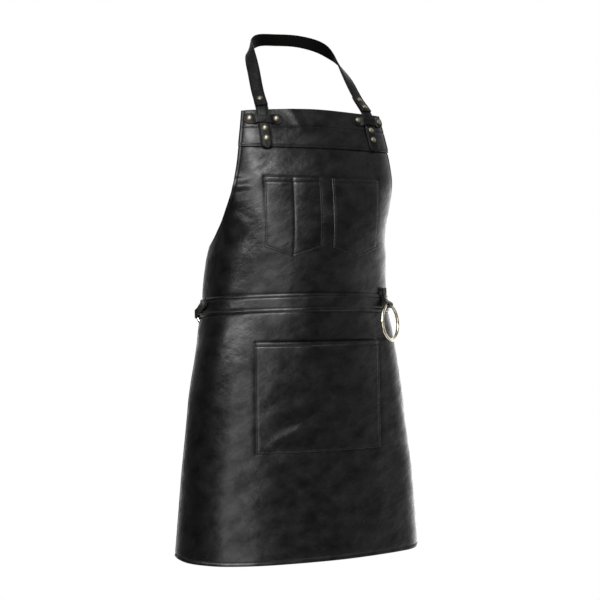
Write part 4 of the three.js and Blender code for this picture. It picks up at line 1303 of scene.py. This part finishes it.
world = bpy.data.worlds.new("studio")
bpy.context.scene.world = world
world.use_nodes = True
sky_links = world.node_tree.links
sky_light = world.node_tree.nodes["Background"]
sky_white = add_node(world, "ShaderNodeBackground", Color=(1, 1, 1, 1), Strength=1.0)
sky_parts = add_node(world, "ShaderNodeSeparateXYZ")
sky_links.new(add_node(world, "ShaderNodeTexCoord").outputs["Generated"], sky_parts.inputs["Vector"])
sky_front = add_node(world, "ShaderNodeMath")
sky_front.operation = "MULTIPLY"
sky_front.inputs[1].default_value = -1.0
sky_links.new(sky_parts.outputs["Y"], sky_front.inputs[0])
sky_turn = add_node(world, "ShaderNodeMath")
sky_turn.operation = "ARCTAN2"
sky_links.new(sky_parts.outputs["X"], sky_turn.inputs[0])
sky_links.new(sky_front.outputs["Value"], sky_turn.inputs[1])
sky_range = add_node(world, "ShaderNodeMapRange", From_Min=-math.pi, From_Max=math.pi)
sky_links.new(sky_turn.outputs["Value"], sky_range.inputs["Value"])
sky_round = []
for lights in (LOW_LIGHT, HIGH_LIGHT):
    stops = [((heading + 180) / 360, grey(level)) for heading, level in lights]
    sky_round.append(ramp(world, sky_range.outputs["Result"], stops))
sky_height = add_node(world, "ShaderNodeMapRange", From_Min=-1.0)
sky_share = add_node(world, "ShaderNodeMapRange", From_Min=0.2, From_Max=0.5)
for node in (sky_height, sky_share):
    sky_links.new(sky_parts.outputs["Z"], node.inputs["Value"])
sky_rise = ramp(world, sky_height.outputs["Result"], [(share, grey(level)) for share, level in SKY_RISE])
sky_both = add_node(world, "ShaderNodeMixRGB")
sky_links.new(sky_share.outputs["Result"], sky_both.inputs["Fac"])
sky_links.new(sky_round[0], sky_both.inputs["Color1"])
sky_links.new(sky_round[1], sky_both.inputs["Color2"])
sky_links.new(sky_both.outputs["Color"], sky_light.inputs["Color"])
sky_links.new(sky_rise, sky_light.inputs["Strength"])
sky_mix = add_node(world, "ShaderNodeMixShader")
sky_links.new(add_node(world, "ShaderNodeLightPath").outputs["Is Camera Ray"], sky_mix.inputs["Fac"])
sky_links.new(sky_light.outputs["Background"], sky_mix.inputs[1])
sky_links.new(sky_white.outputs["Background"], sky_mix.inputs[2])
sky_links.new(sky_mix.outputs["Shader"], world.node_tree.nodes["World Output"].inputs["Surface"])

# name, width, height and power of each softbox, its place, its aim and whether the camera may see it
SOFTBOXES = [
    ("top_softbox", 1.2, 1.2, 19.0, (-0.75, -1.7, 1.2), (0.05, -0.15, -0.5), True),
    ("side_softbox", 0.95, 0.18, 4.6, (-0.85, -0.7, -0.3), (-0.12, -0.23, -0.34), False),
]
for name, wide, tall, power, place, aim, seen in SOFTBOXES:
    lamp = bpy.data.lights.new(name, "AREA")
    lamp.shape = "RECTANGLE"
    lamp.size = wide
    lamp.size_y = tall
    lamp.energy = power
    softbox = bpy.data.objects.new(name, lamp)
    softbox.location = place
    softbox.rotation_euler = (Vector(aim) - Vector(place)).to_track_quat("-Z", "Y").to_euler()
    softbox.visible_camera = seen
    bpy.context.scene.collection.objects.link(softbox)

CAMERA_PLACE = (-1.0331, -2.4346, -0.487)
CAMERA_WAY = (0.408, 0.913, 0)

lens = bpy.data.cameras.new("studio_camera")
lens.sensor_width = 36.0
lens.lens = 78.4
lens.shift_x = 0.001
lens.shift_y = -0.0322
lens.clip_end = 50.0
camera = bpy.data.objects.new("studio_camera", lens)
camera.location = CAMERA_PLACE
camera.rotation_euler = Vector(CAMERA_WAY).to_track_quat("-Z", "Y").to_euler()
bpy.context.scene.collection.objects.link(camera)
bpy.context.scene.camera = camera
bpy.context.scene.view_settings.view_transform = "Standard"
